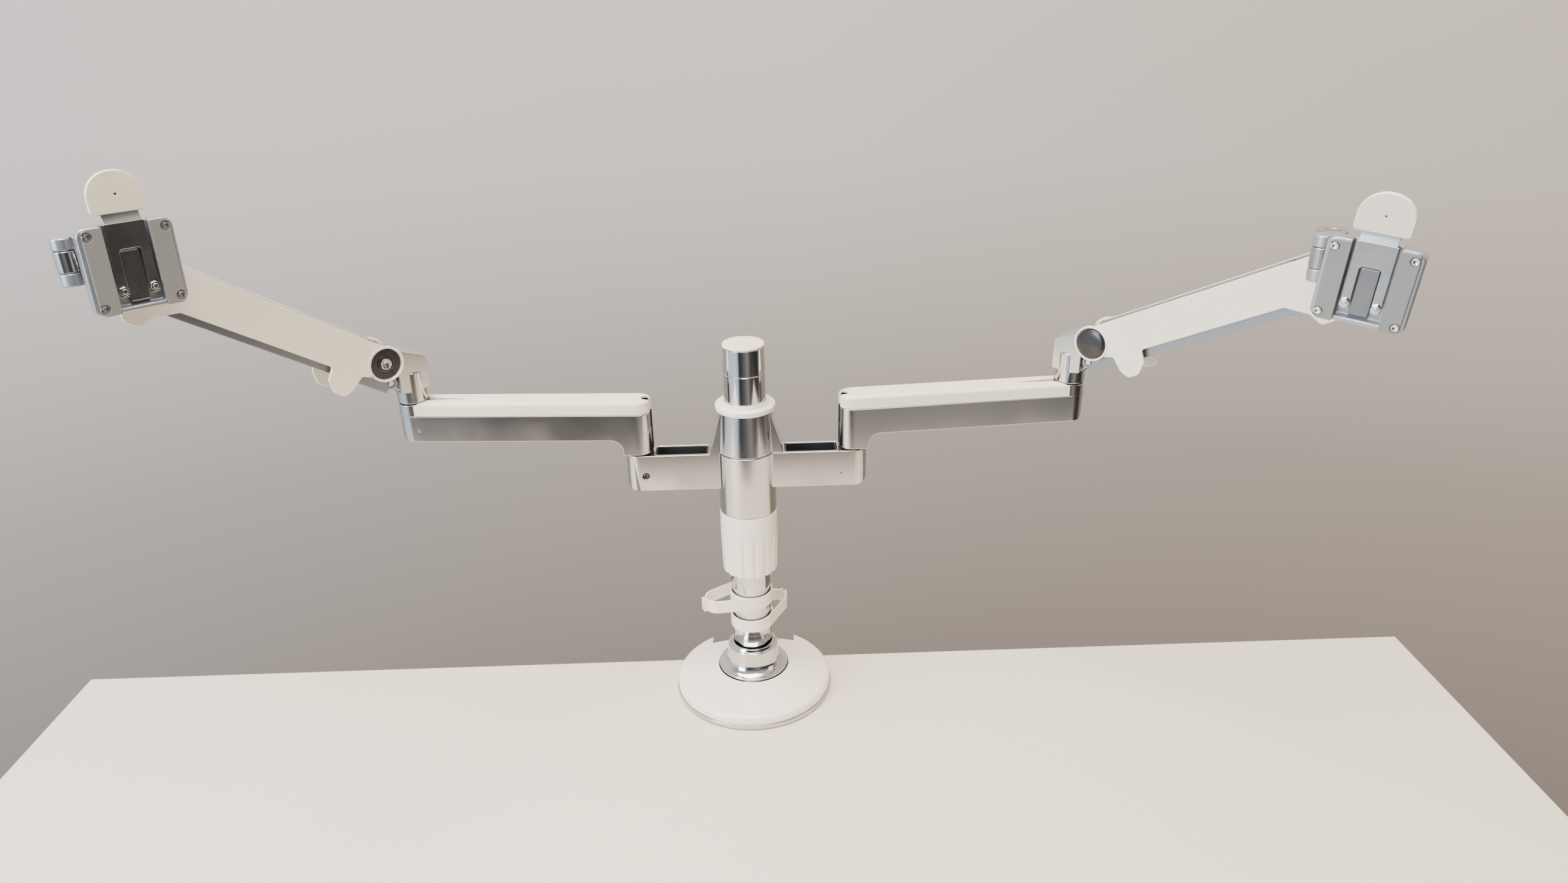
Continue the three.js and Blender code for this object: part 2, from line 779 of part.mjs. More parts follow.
const lowerLink = () => {
  const wall = (y0, y1) =>
    joined(
      block(0, armReach, y0, y1, -lowerDeep, 0.4),
      bar(lowerEye, y0, y1, { around: 16 }),
      bar(lowerEye, y0, y1, { x: armReach, around: 16 }),
    );
  const inner = lowerOuter - lowerWall;
  return cut(
    joined(
      wall(inner, lowerOuter),
      wall(-lowerOuter, -inner),
      block(
        lowerFloorStop,
        armReach - lowerFloorStop,
        -lowerOuter,
        lowerOuter,
        -lowerDeep,
        -lowerDeep + lowerFloorThick,
      ),
    ),
    block(-7, 0, -20, 20, -lowerDeep - 1, -lowerEye),
    block(armReach, armReach + 7, -20, 20, -lowerDeep - 1, -lowerEye),
    bar(lowerPinRadius + runGap, -20, 20, { around: 12 }),
    bar(lowerPinRadius + 2 * runGap, -20, 20, { x: armReach, around: 12 }),
  );
};

const strut = () => joined(
  shaft(strutRadius, strutStart, strutStart + strutLength, { z: strutHigh }),
  shaft(strutRodRadius, strutStart + strutLength - 2, armReach - strutRodStop, { z: strutHigh, around: 12 }),
);

const axle = (proud) => {
  const front = proud ? coverInner + 2.4 : coverInner - restGap;
  const pin = bar(axleRadius, -beamInner - beamWall, front, { around: 18 });
  return proud ? pin.subtract(bar(1.9, front - 1.6, front + 1, { around: 6 })) : pin;
};

// black disc that closes the recess around the axle; domed where the cap is in place
const pivotDisc = (domed) => {
  const low = coverInner;
  const radius = pivotRingBore - 0.4;
  if (!domed) {
    const flat = bar(radius, low, low + 0.8, { around: 26 });
    return flat.subtract(bar(axleRadius + runGap, low - 1, low + 2, { around: 18 }));
  }
  const profile = [
    [0, low],
    [radius, low],
    [radius, low + 2.6],
    [radius - 1.2, low + 3.5],
    [radius - 4.5, low + 4.3],
    [radius - 9, low + 4.8],
    [0, low + 5],
  ];
  return moved(turned(profile, 26), new THREE.Matrix4().makeRotationX(-Math.PI / 2));
};

const endYoke = () => {
  const web = rounded([
    [-7, 0],
    [lowerX - 5, lowerZ, 0],
    [lowerX + 5, lowerZ, 0],
    [8, 0],
  ]);
  const p2 = { x: lowerX, z: lowerZ, around: 12 };
  return joined(
    bar(pivotBarrel - 0.5, -elbowHalf, elbowHalf, { around: 22 }),
    bar(axleRadius, -beamInner - beamWall, beamInner + beamWall, { around: 18 }),
    plate(web, -lowerEyeHalf, lowerEyeHalf),
    bar(lowerEye, -lowerEyeHalf, lowerEyeHalf, p2),
    bar(lowerPinRadius, -lowerOuter, lowerOuter, p2),
    rod(spindleRadius, 0, spindleHigh, { around: 18 }),
    rod(spindlePin, spindleHigh - 1, spindleHigh + swingThick + 0.2, { around: 16 }),
  );
};

// ---- head mechanism, z measured from the arm's end pivot ----

const swingLow = spindleHigh + 0.4;
const knuckleSeat = spindleHigh + knuckleHalf + 0.2;
const swingLink = () =>
  cut(
    joined(
      rod(swingBoss, swingLow, swingLow + swingThick, { around: 22 }),
      slab(capsule(swingReach, swingHalf), swingLow, swingLow + swingThick),
      rod(knuckleRadius, spindleHigh - knuckleHalf, knuckleSeat, { x: swingReach, around: 18 }),
    ),
    rod(spindlePin + runGap, swingLow - 1, swingLow + swingThick + 1, { around: 16 }),
    rod(hingePinRadius + runGap, 0, 40, { x: swingReach, around: 12 }),
  );

// in the frame of the hinge's axis: x to the viewer's right, y away, origin at its middle
const hingeBracket = () => {
  const [tx, ty, tz] = barrelToTilt;
  const outer = (z0, z1) =>
    joined(rod(knuckleRadius, z0, z1, { around: 18 }), block(-knuckleRadius, 7.6, -5.7, 0, z0, z1));
  const gap = knuckleHalf + 0.3;
  const earFront = tiltHalf + 0.3;
  const earBack = earFront + earThick;
  const ear = (x0, x1) => block(tx + x0, tx + x1, -5.7, ty + 7.8, tz - 6, tz + 6);
  return cut(
    joined(
      outer(knuckleLow, -gap),
      outer(gap + 0.2, knuckleTop),
      rod(hingePinRadius, knuckleLow, knuckleTop, { around: 12 }),
      block(7.5, 14, -5.7, -3.2, knuckleLow, knuckleTop),
      block(13.5, tx - earFront, -5.7, -3.2, tz - 9, tz + 7),
      ear(-earBack, -earFront),
      ear(earFront, earBack),
      block(tx - earBack, tx + earBack, ty + 5.3, ty + 7.8, tz - 6, tz + 6),
    ),
    shaft(tiltPinRadius + runGap, tx - 20, tx + 20, { y: ty, z: tz, around: 12 }),
  );
};

// in the frame of the tilt axis
const tiltBlock = () =>
  joined(
    shaft(tiltBarrel, -tiltHalf, tiltHalf, { around: 18 }),
    shaft(tiltPinRadius, -tiltHalf - earThick, tiltHalf + earThick, { around: 12 }),
    bar(9, -tiltBack + headBack + restGap, -3, { around: 22 }),
    bar(4, -tiltBack + recessBack + 0.3, 0, { around: 16 }),
  );

// ---- head, in the frame of its face: x to the viewer's right, y away, z up ----

const squareOutline = (half, corner) =>
  rounded([
    [-half, -half, corner],
    [half, -half, corner],
    [half, half, corner],
    [-half, half, corner],
  ]);

const headHousing = () => {
  const front = stripThick + restGap;
  return cut(
    joined(
      cut(
        plate(squareOutline(headHalf, headCorner), front, headBack),
        block(-stripInner, stripInner, front - 1, recessBack, recessLow, headHalf + 1),
      ),
      block(-padHalf, padHalf, plateFront + plateThick + 0.5, recessBack + 0.1, recessLow - 0.1, padTop),
    ),
    bar(4 + runGap, 0, headBack + 1, { around: 16 }),
  );
};

const headStrip = (side) => {
  const x0 = side * stripInner;
  const x1 = side * (stripInner + stripWidth);
  const outline = rounded([
    [x0, -headHalf + 0.4, 0.8],
    [x1, -headHalf + 0.4, 4],
    [x1, headHalf - 0.4, 4],
    [x0, headHalf - 0.4, 0.8],
  ]);
  const rings = [-1, 1].map((end) => {
    const at = { x: side * (screwSpacing / 2), z: (end * screwSpacing) / 2, around: 12 };
    return bar(3.2, -1, 0.6, at).subtract(bar(2.5, -2, 2, at));
  });
  return cut(plate(outline, 0, stripThick), ...rings);
};

const slidePlate = () => {
  const back = plateFront + plateThick;
  const outline = rounded([
    [-plateHalf, -20, 1.5],
    [-plateSlotHalf, -20],
    [-plateSlotHalf, 13, 2],
    [plateSlotHalf, 13, 2],
    [plateSlotHalf, -20],
    [plateHalf, -20, 1.5],
    [plateHalf, headHalf + 0.3],
    [-plateHalf, headHalf + 0.3],
  ]);
  const bend = beam(
    [
      [plateFront, headHalf - 0.2],
      [back, headHalf - 0.2],
      [7.2, tabLow - 0.7],
      [7.2, tabTongueTop],
      [6.2, tabTongueTop],
      [6.2, tabLow - 0.3],
    ].map(([y, z]) => new THREE.Vector2(y, z)),
    -tabTongueHalf,
    tabTongueHalf,
  );
  const nut = (x) => bar(2.9, 1.4, plateFront + 0.2, { x, z: nutZ, around: 6 });
  return joined(plate(outline, plateFront, back), bend, nut(-nutSpacing / 2), nut(nutSpacing / 2));
};

const tabCover = () => {
  const outline = rounded(
    [
      [-tabHalf, tabLow, 2],
      [tabHalf, tabLow, 2],
      [tabHalf, tabHigh, tabHalf - 0.5],
      [-tabHalf, tabHigh, tabHalf - 0.5],
    ],
    8,
  );
  return cut(
    plate(outline, tabFront, tabFront + tabThick),
    block(-tabTongueHalf - restGap, tabTongueHalf + restGap, 5.9, 7.5, tabLow - 1, tabTongueTop + 0.4),
    bar(0.7, tabFront - 1, tabFront + 1, { z: tabTongueTop, around: 8 }),
  );
};

// ---- placing the two arms ----

const upright = (point, angle) => {
  return new THREE.Matrix4().makeRotationZ(radians(angle)).setPosition(point.x, point.y, point.z);
};
const along = (angle) => new THREE.Vector3(Math.cos(radians(angle)), Math.sin(radians(angle)), 0);

for (const [side, rest] of Object.entries(sides)) {
  const linkAngle = rest.toward > 0 ? rest.sweep : 180 - rest.sweep;
  const headingAngle = rest.toward > 0 ? -rest.heading : 180 + rest.heading;
  const front = (solid) => (rest.toward > 0 ? flippedY(solid) : solid);

  const linkFoot = new THREE.Vector3(rest.toward * hubArmReach, 0, 0);
  const atLink = upright(linkFoot, linkAngle);
  place(`link_pin_inner_${side}`, moved(pivotPin(hubArmHigh + 0.4), upright(linkFoot, 0)), "black");
  place(`link_arm_${side}`, moved(linkArm(), atLink), "polished");
  place(`link_cover_${side}`, moved(linkCover(), atLink), "ivory");

  const elbowFoot = linkFoot.clone().addScaledVector(along(linkAngle), linkLength);
  const atElbow = upright(elbowFoot, headingAngle);
  place(`link_pin_outer_${side}`, moved(pivotPin(linkEndHigh + 0.3), upright(elbowFoot, 0)), "black");
  place(`elbow_${side}`, moved(elbow(), atElbow), "polished");

  const pitched = new THREE.Matrix4().makeRotationY(-radians(rest.pitch));
  const atArm = atElbow
    .clone()
    .multiply(new THREE.Matrix4().makeTranslation(pivotReach, 0, pivotHigh))
    .multiply(pitched);
  const atLower = atElbow
    .clone()
    .multiply(new THREE.Matrix4().makeTranslation(pivotReach + lowerX, 0, pivotHigh + lowerZ))
    .multiply(pitched);
  place(`arm_beam_${side}`, moved(armBeam(), atArm), "satin");
  place(`arm_lower_link_${side}`, moved(lowerLink(), atLower), "satin");
  place(`arm_cover_front_${side}`, moved(front(armCover(true)), atArm), "ivory");
  place(`arm_cover_back_${side}`, moved(front(flippedY(armCover(false))), atArm), "ivory");
  place(`arm_axle_${side}`, moved(front(axle(rest.toward < 0)), atArm), "steel");
  place(`pivot_disc_${side}`, moved(front(pivotDisc(rest.toward > 0)), atArm), "black");
  place(`gas_strut_${side}`, moved(strut(), atArm), "dark");

  const endPoint = new THREE.Vector3(armReach, 0, 0).applyMatrix4(atArm);
  place(`end_yoke_${side}`, moved(endYoke(), upright(endPoint, headingAngle)), "steel");

  place(`swing_link_${side}`, moved(swingLink(), upright(endPoint, rest.swing)), "polished");

  const hingePoint = endPoint.clone().addScaledVector(along(rest.swing), swingReach);
  hingePoint.z += spindleHigh;
  const atHinge = upright(hingePoint, rest.pan);
  place(`hinge_bracket_${side}`, moved(hingeBracket(), atHinge), "satin");

  const atTilt = atHinge
    .clone()
    .multiply(new THREE.Matrix4().makeTranslation(...barrelToTilt))
    .multiply(new THREE.Matrix4().makeRotationX(radians(rest.tilt)));
  place(`tilt_block_${side}`, moved(tiltBlock(), atTilt), "steel");

  const atHead = atTilt
    .clone()
    .multiply(new THREE.Matrix4().makeRotationY(radians(rest.turn)))
    .multiply(new THREE.Matrix4().makeTranslation(0, -tiltBack, 0));
  place(`head_housing_${side}`, moved(headHousing(), atHead), "satin");
  place(`head_strip_outer_${side}`, moved(headStrip(rest.toward), atHead), "greyStrip");
  place(`head_strip_inner_${side}`, moved(headStrip(-rest.toward), atHead), "greyStrip");
  place(`slide_plate_${side}`, moved(slidePlate(), atHead), "steel");
  place(`release_tab_${side}`, moved(tabCover(), atHead), "ivory");
}

export default object;
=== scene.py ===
import json
import math

import bmesh
import bpy
from mathutils import Matrix, Vector


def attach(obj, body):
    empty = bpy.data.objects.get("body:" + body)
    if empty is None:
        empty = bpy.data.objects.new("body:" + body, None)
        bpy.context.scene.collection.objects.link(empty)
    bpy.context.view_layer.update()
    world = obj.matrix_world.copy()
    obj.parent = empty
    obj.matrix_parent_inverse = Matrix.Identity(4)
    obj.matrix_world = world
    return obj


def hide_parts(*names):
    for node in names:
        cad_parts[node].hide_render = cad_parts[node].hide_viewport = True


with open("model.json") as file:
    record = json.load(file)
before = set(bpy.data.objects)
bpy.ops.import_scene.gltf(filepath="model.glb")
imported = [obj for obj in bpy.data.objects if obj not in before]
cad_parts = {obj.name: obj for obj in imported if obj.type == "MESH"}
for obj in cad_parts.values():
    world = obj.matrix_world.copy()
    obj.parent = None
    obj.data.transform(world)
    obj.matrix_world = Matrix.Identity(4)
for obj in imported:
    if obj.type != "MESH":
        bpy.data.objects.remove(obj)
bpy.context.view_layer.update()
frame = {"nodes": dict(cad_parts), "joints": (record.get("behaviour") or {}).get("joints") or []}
print("frame loaded:", len(frame["nodes"]), "nodes")

# Shapes are built in millimetres in each part's own frame, and placed in metres at the end.

joints = {joint["name"]: joint for joint in frame["joints"]}


def jointPoint(name):
    return Vector(joints[name]["pos_m"]) * 1000


def jointAxis(name):
    return Vector(joints[name]["axis"]).normalized()


def frameAt(origin, xAxis, yAxis):
    zAxis = xAxis.cross(yAxis)
    place = Matrix((xAxis, yAxis, zAxis)).transposed().to_4x4()
    place.translation = origin
    return place


def levelFrame(origin, towards):
    xAxis = Vector((towards.x, towards.y, 0)).normalized()
    return frameAt(origin, xAxis, Vector((-xAxis.y, xAxis.x, 0)))


def solidFrom(points, faces):
    mesh = bpy.data.meshes.new("solid")
    mesh.from_pydata(points, [], faces)
    work = bmesh.new()
    work.from_mesh(mesh)
    bmesh.ops.remove_doubles(work, verts=work.verts, dist=1e-4)
    bmesh.ops.recalc_face_normals(work, faces=work.faces)
    work.to_mesh(mesh)
    work.free()
    solid = bpy.data.objects.new("solid", mesh)
    bpy.context.scene.collection.objects.link(solid)
    return solid


def loft(loops):  # closed loops of equal length, capped at both ends
    count = len(loops[0])
    points = [point for loop in loops for point in loop]
    faces = [list(range(count)), [len(points) - count + k for k in range(count)]]
    for row in range(len(loops) - 1):
        for k in range(count):
            a, b = row * count + k, row * count + (k + 1) % count
            faces.append([a, b, b + count, a + count])
    return solidFrom(points, faces)


planes = {
    "xy": lambda a, b, c: (a, b, c),
    "xz": lambda a, b, c: (a, c, b),
    "yz": lambda a, b, c: (c, a, b),
}


def prism(outline, low, high, plane="xy"):
    put = planes[plane]
    return loft([[put(a, b, level) for a, b in outline] for level in (low, high)])


def block(x0, x1, y0, y1, z0, z1):
    return prism([(x0, y0), (x1, y0), (x1, y1), (x0, y1)], z0, z1)


def lathe(profile, around=96):  # a profile of (radius, z); it closes itself when it is off the axis
    points, rings, faces = [], [], []
    for radius, z in profile:
        count = around if radius > 1e-4 else 1
        rings.append([len(points) + k for k in range(count)])
        for k in range(count):
            angle = 2 * math.pi * k / around
            points.append((radius * math.cos(angle), radius * math.sin(angle), z))
    pairs = list(zip(rings, rings[1:]))
    if len(rings[0]) > 1 or len(rings[-1]) > 1:
        pairs.append((rings[-1], rings[0]))
    for low, high in pairs:
        for k in range(around):
            corners = [low[k % len(low)], low[(k + 1) % len(low)]]
            corners += [high[(k + 1) % len(high)], high[k % len(high)]]
            corners = list(dict.fromkeys(corners))
            if len(corners) > 2:
                faces.append(corners)
    return solidFrom(points, faces)


turns = {
    "z": Matrix.Identity(4),
    "y": Matrix.Rotation(-math.pi / 2, 4, "X"),
    "x": Matrix.Rotation(math.pi / 2, 4, "Y"),
}


def turned(profile, axis="z", at=(0, 0, 0), around=96):
    solid = lathe(profile, around)
    solid.data.transform(Matrix.Translation(at) @ turns[axis])
    return solid


def rod(radius, low, high, axis="z", at=(0, 0, 0), around=64):
    return turned([(0, low), (radius, low), (radius, high), (0, high)], axis, at, around)


def rounded(corners, steps=8):  # corners are (x, y) or (x, y, radius)
    outline = []
    for index, corner in enumerate(corners):
        point = Vector(corner[:2])
        radius = corner[2] if len(corner) > 2 else 0
        if radius == 0:
            outline.append(tuple(point))
            continue
        before = (Vector(corners[index - 1][:2]) - point).normalized()
        after = (Vector(corners[(index + 1) % len(corners)][:2]) - point).normalized()
        half = math.acos(before.dot(after)) / 2
        middle = point + (before + after).normalized() * radius / math.sin(half)
        first = point + before * radius / math.tan(half) - middle
        last = point + after * radius / math.tan(half) - middle
        start = math.atan2(first.y, first.x)
        turn = (math.atan2(last.y, last.x) - start + math.pi) % (2 * math.pi) - math.pi
        for k in range(steps + 1):
            angle = start + turn * k / steps
            outline.append((middle.x + radius * math.cos(angle), middle.y + radius * math.sin(angle)))
    return outline


def teardrop(x0, r0, x1, r1, steps=28):  # two circles on the X axis and their tangents
    lean = math.acos((r0 - r1) / (x1 - x0))
    outline = []
    for k in range(steps + 1):
        angle = -lean + 2 * lean * k / steps
        outline.append((x1 + r1 * math.cos(angle), r1 * math.sin(angle)))
    for k in range(steps + 1):
        angle = lean + (2 * math.pi - 2 * lean) * k / steps
        outline.append((x0 + r0 * math.cos(angle), r0 * math.sin(angle)))
    return outline


def pillOutline(reach, radius):  # round at both ends, the far one a hair smaller
    return teardrop(0, radius, reach, radius - 0.001)


def pill(reach, radius, low, high, topRound, steps):  # an upright capsule with a round top edge
    levels = [(0, low)]
    for k in range(steps + 1):
        angle = math.pi / 2 * k / steps
        levels.append((topRound * (1 - math.cos(angle)), high - topRound * (1 - math.sin(angle))))
    loops = []
    for inset, z in levels:
        outline = teardrop(0, radius - inset, reach, radius - inset)
        loops.append([(x, y, z) for x, y in outline])
    return loft(loops)


def combine(how, base, tools):
    for tool in tools:
        step = base.modifiers.new(how, "BOOLEAN")
        step.operation = how
        step.solver = "MANIFOLD"
        step.object = tool
    baked(base)
    for tool in tools:
        bpy.data.objects.remove(tool)
    return base


def join(base, *tools):
    return combine("UNION", base, tools)


def carve(base, *tools):
    return combine("DIFFERENCE", base, tools)


def common(base, *tools):
    return combine("INTERSECT", base, tools)


def baked(solid):
    graph = bpy.context.evaluated_depsgraph_get()
    mesh = bpy.data.meshes.new_from_object(solid.evaluated_get(graph))
    solid.modifiers.clear()
    spent = solid.data
    solid.data = mesh
    bpy.data.meshes.remove(spent)
    return solid


def tidied(solid):
    work = bmesh.new()
    work.from_mesh(solid.data)
    bmesh.ops.remove_doubles(work, verts=work.verts, dist=2e-3)
    bmesh.ops.dissolve_limit(work, angle_limit=math.radians(0.7), verts=work.verts, edges=work.edges)
    bmesh.ops.recalc_face_normals(work, faces=work.faces)
    work.to_mesh(solid.data)
    work.free()
    return solid


def piece(name, solid, place, body, finish, nodes=(), edge=0.4, steps=3, mirrored=False):
    tidied(solid)
    if edge:
        bevel = solid.modifiers.new("edges", "BEVEL")
        bevel.width = edge
        bevel.segments = steps
        bevel.limit_method = "ANGLE"
        bevel.angle_limit = math.radians(34)
        bevel.miter_outer = "MITER_ARC"
        bevel.use_clamp_overlap = False
        baked(solid)
    flip = Matrix.Scale(-1, 4, (0, 1, 0)) if mirrored else Matrix.Identity(4)
    solid.data.transform(Matrix.Scale(0.001, 4) @ place @ flip)
    if mirrored:
        solid.data.flip_normals()
    solid.data.shade_smooth()
    solid.modifiers.new("shading", "WEIGHTED_NORMAL").keep_sharp = False
    solid.name = name
    solid.data.name = name
    solid.data.materials.clear()
    solid.data.materials.append(finish["material"])
    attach(solid, body)
    if nodes:
        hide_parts(*nodes)
    return solid


class Wire:
    def __init__(self, tree, socket=None):
        self.tree = tree
        self.socket = socket

    def add(self, kind, inputs=None, out=0, **settings):
        node = self.tree.nodes.new(kind)
        for key, value in settings.items():
            if key == "stops":
                self.setStops(node.color_ramp, value)
            else:
                setattr(node, key, value)
        for key, value in (inputs or {}).items():
            target = node.inputs[key]
            if isinstance(value, Wire):
                self.tree.links.new(value.socket, target)
            else:
                target.default_value = value
        return Wire(self.tree, node.outputs[out] if node.outputs else None)

    def setStops(self, ramp, stops):
        while len(ramp.elements) < len(stops):
            ramp.elements.new(0.5)
        for element, (at, shade) in zip(ramp.elements, stops):
            element.position = at
            element.color = (*shade, 1) if isinstance(shade, tuple) else (shade, shade, shade, 1)

    def math(self, operation, left, right):
        return self.add("ShaderNodeMath", {0: left, 1: right}, operation=operation)

    def __add__(self, other):
        return self.math("ADD", self, other)

    def __radd__(self, other):
        return self.math("ADD", other, self)

    def __sub__(self, other):
        return self.math("SUBTRACT", self, other)

    def __rsub__(self, other):
        return self.math("SUBTRACT", other, self)

    def __mul__(self, other):
        return self.math("MULTIPLY", self, other)

    def __rmul__(self, other):
        return self.math("MULTIPLY", other, self)

    def __truediv__(self, other):
        return self.math("DIVIDE", self, other)

    def __rtruediv__(self, other):
        return self.math("DIVIDE", other, self)

    def ramp(self, *stops):
        return self.add("ShaderNodeValToRGB", {"Fac": self}, stops=stops)

    def between(self, low, high):  # this value as a share, clipped
        inputs = {"Value": self, "From Min": low, "From Max": high, "To Min": 0, "To Max": 1}
        return self.add("ShaderNodeMapRange", inputs, clamp=True)

    def noise(self, scale, detail=3, roughness=0.5, stretch=(1, 1, 1)):
        place = self.add("ShaderNodeTexCoord", out=3)
        place = self.add("ShaderNodeMapping", {"Vector": place, "Scale": stretch})
        inputs = {"Vector": place, "Scale": scale, "Detail": detail, "Roughness": roughness}
        return self.add("ShaderNodeTexNoise", inputs)

    def mix(self, share, first, second):
        first, second = (shade if isinstance(shade, Wire) else (*shade, 1) for shade in (first, second))
        return self.add("ShaderNodeMix", {0: share, 6: first, 7: second}, out=2, data_type="RGBA")


def newFinish(name, slot, build):
    material = bpy.data.materials.new(name)
    material.use_nodes = True
    tree = material.node_tree
    tree.nodes.clear()
    surface = build(Wire(tree))
    end = tree.nodes.new("ShaderNodeOutputMaterial")
    tree.links.new(surface.socket, end.inputs["Surface"])
    return {"material": material, "slot": slot}


def metal(shade, dull, low, high, cloud=0.5, grain=0.02, brushed=(1, 1, 1), scratch=0.2):
    # shade is the clean colour, dull the clouded one; roughness runs from low to high
    def build(wire):
        clouds = wire.noise(26, 4, 0.55).between(0.36, 0.68)
        smears = wire.noise(9, 3, 0.6, (1, 1, 0.35)).between(0.42, 0.62)
        lines = wire.noise(420, 2, 0.6, brushed)
        film = clouds * cloud * 0.6 + smears * cloud * 0.5
        colour = wire.mix(film, shade, dull)
        rough = low + film * (high - low) + lines * scratch * 0.06
        height = lines * scratch + wire.noise(60, 2) * 0.3
        normal = wire.add("ShaderNodeBump", {"Height": height, "Strength": grain, "Distance": 0.0004})
        inputs = {"Base Color": colour, "Metallic": 1.0, "Roughness": rough, "Normal": normal}
        return wire.add("ShaderNodeBsdfPrincipled", inputs)
    return build


def plastic(shade, soiled, low, high, coat=0.0, grain=0.05, grainScale=900, soil=0.5):
    def build(wire):
        marks = wire.noise(14, 5, 0.62).between(0.52, 0.78)
        specks = wire.noise(300, 2, 0.5).between(0.66, 0.74)
        dirt = marks * soil * 0.55 + specks * soil * 0.25
        colour = wire.mix(dirt, shade, soiled)
        rough = low + wire.noise(40, 3).between(0.3, 0.7) * (high - low)
        height = wire.noise(grainScale, 2, 0.5)
        normal = wire.add("ShaderNodeBump", {"Height": height, "Strength": grain, "Distance": 0.0002})
        inputs = {"Base Color": colour, "Roughness": rough, "Normal": normal, "Coat Weight": coat}
        inputs["Coat Roughness"] = 0.06
        return wire.add("ShaderNodeBsdfPrincipled", inputs)
    return build


def satinPaint(shade, dull, low, high):
    def build(wire):
        flakes = wire.noise(1600, 1, 0.5).between(0.35, 0.65)
        clouds = wire.noise(18, 4, 0.6).between(0.4, 0.7)
        colour = wire.mix(flakes * 0.35 + clouds * 0.25, shade, dull)
        rough = low + clouds * (high - low)
        height = wire.noise(1300, 2, 0.5)
        normal = wire.add("ShaderNodeBump", {"Height": height, "Strength": 0.07, "Distance": 0.0002})
        inputs = {"Base Color": colour, "Metallic": 0.75, "Roughness": rough, "Normal": normal}
        return wire.add("ShaderNodeBsdfPrincipled", inputs)
    return build


upright, alongZ = (1, 1, 0.08), (1, 1, 0.2)  # brushing drawn out along Z
soot = (0.012, 0.012, 0.013)
polished = newFinish(
    "polishedCasting", "polished", metal((0.6, 0.6, 0.6), (0.44, 0.43, 0.415), 0.12, 0.25, 0.7, 0.06)
)
chrome = newFinish(
    "brightTube", "chrome", metal((0.62, 0.62, 0.62), (0.48, 0.48, 0.47), 0.07, 0.15, 0.5, 0.03, upright)
)
armGrey = newFinish("armGrey", "satin", satinPaint((0.27, 0.285, 0.305), (0.2, 0.21, 0.23), 0.32, 0.44))
satin = newFinish("satinGrey", "satin", satinPaint((0.44, 0.465, 0.5), (0.34, 0.36, 0.39), 0.3, 0.42))
steel = newFinish(
    "zincSteel", "steel", metal((0.56, 0.55, 0.53), (0.34, 0.33, 0.3), 0.16, 0.34, 0.8, 0.06, alongZ)
)
brightScrew = newFinish(
    "brightScrew", "steel", metal((0.86, 0.86, 0.84), (0.66, 0.66, 0.64), 0.14, 0.26, 0.5, 0.05)
)
greyCasting = newFinish(
    "greyCasting", "satin", metal((0.3, 0.3, 0.3), (0.2, 0.2, 0.2), 0.24, 0.4, 0.7, 0.15)
)
darkMetal = newFinish(
    "darkCoat", "dark", metal((0.1, 0.1, 0.105), (0.05, 0.05, 0.052), 0.28, 0.5, 0.8, 0.2)
)
ivory = newFinish(
    "ivoryCover", "ivory", plastic((0.9, 0.81, 0.66), (0.76, 0.66, 0.5), 0.3, 0.42, 0.05, 0.06)
)
gloss = newFinish(
    "whiteGloss", "gloss", plastic((0.95, 0.875, 0.745), (0.85, 0.755, 0.61), 0.12, 0.22, 0.4, 0.02, 300)
)
black = newFinish(
    "blackMoulding", "black", plastic(soot, (0.05, 0.048, 0.045), 0.18, 0.34, 0.2, 0.05, 700)
)
matteBlack = newFinish("matteBlack", "black", plastic(soot, (0.03, 0.03, 0.03), 0.5, 0.7, 0.0, 0.25, 900))
greyStrip = newFinish(
    "greyStrip",
    "grey_strip",
    plastic((0.23, 0.235, 0.225), (0.17, 0.175, 0.165), 0.46, 0.6, 0.0, 0.2, 1100, 0.7),
)
print("finishes made")

lens = {
    "place": (0.0119, -0.9051, 0.6773),
    "yaw": 1.46,
    "down": 24.24,
    "roll": 1.02,
    "focal": 24.55,
}


def addCamera():
    data = bpy.data.cameras.new("camera")
    data.lens = lens["focal"]
    data.sensor_width = 36
    data.sensor_fit = "HORIZONTAL"
    data.clip_start = 0.01
    data.clip_end = 50
    camera = bpy.data.objects.new("camera", data)
    bpy.context.scene.collection.objects.link(camera)
    look = Matrix.Rotation(math.radians(-lens["yaw"]), 4, "Z")
    look @= Matrix.Rotation(math.radians(90 - lens["down"]), 4, "X")
    look @= Matrix.Rotation(math.radians(-lens["roll"]), 4, "Z")
    camera.matrix_world = Matrix.Translation(lens["place"]) @ look
    bpy.context.scene.camera = camera


def laminate(wire):
    speckle = wire.noise(700, 2, 0.5).between(0.4, 0.6)
    haze = wire.noise(3, 3, 0.5).between(0.3, 0.7)
    colour = wire.mix(speckle * 0.3 + haze * 0.4, (0.84, 0.73, 0.62), (0.8, 0.69, 0.58))
    normal = wire.add("ShaderNodeBump", {"Height": speckle, "Strength": 0.05, "Distance": 0.0002})
    inputs = {"Base Color": colour, "Roughness": 0.42 + haze * 0.1, "Normal": normal}
    return wire.add("ShaderNodeBsdfPrincipled", inputs)


desk = {"left": -697, "right": 693, "back": 41, "front": -530, "thick": 25}


def addDesk():
    top = block(desk["left"], desk["right"], desk["front"], desk["back"], -desk["thick"], 0)
    top.data.transform(Matrix.Scale(0.001, 4))
    top.name = "deskTop"
    top.data.materials.append(newFinish("deskLaminate", None, laminate)["material"])
    edge = top.modifiers.new("edge", "BEVEL")
    edge.width = 0.001
    edge.segments = 2


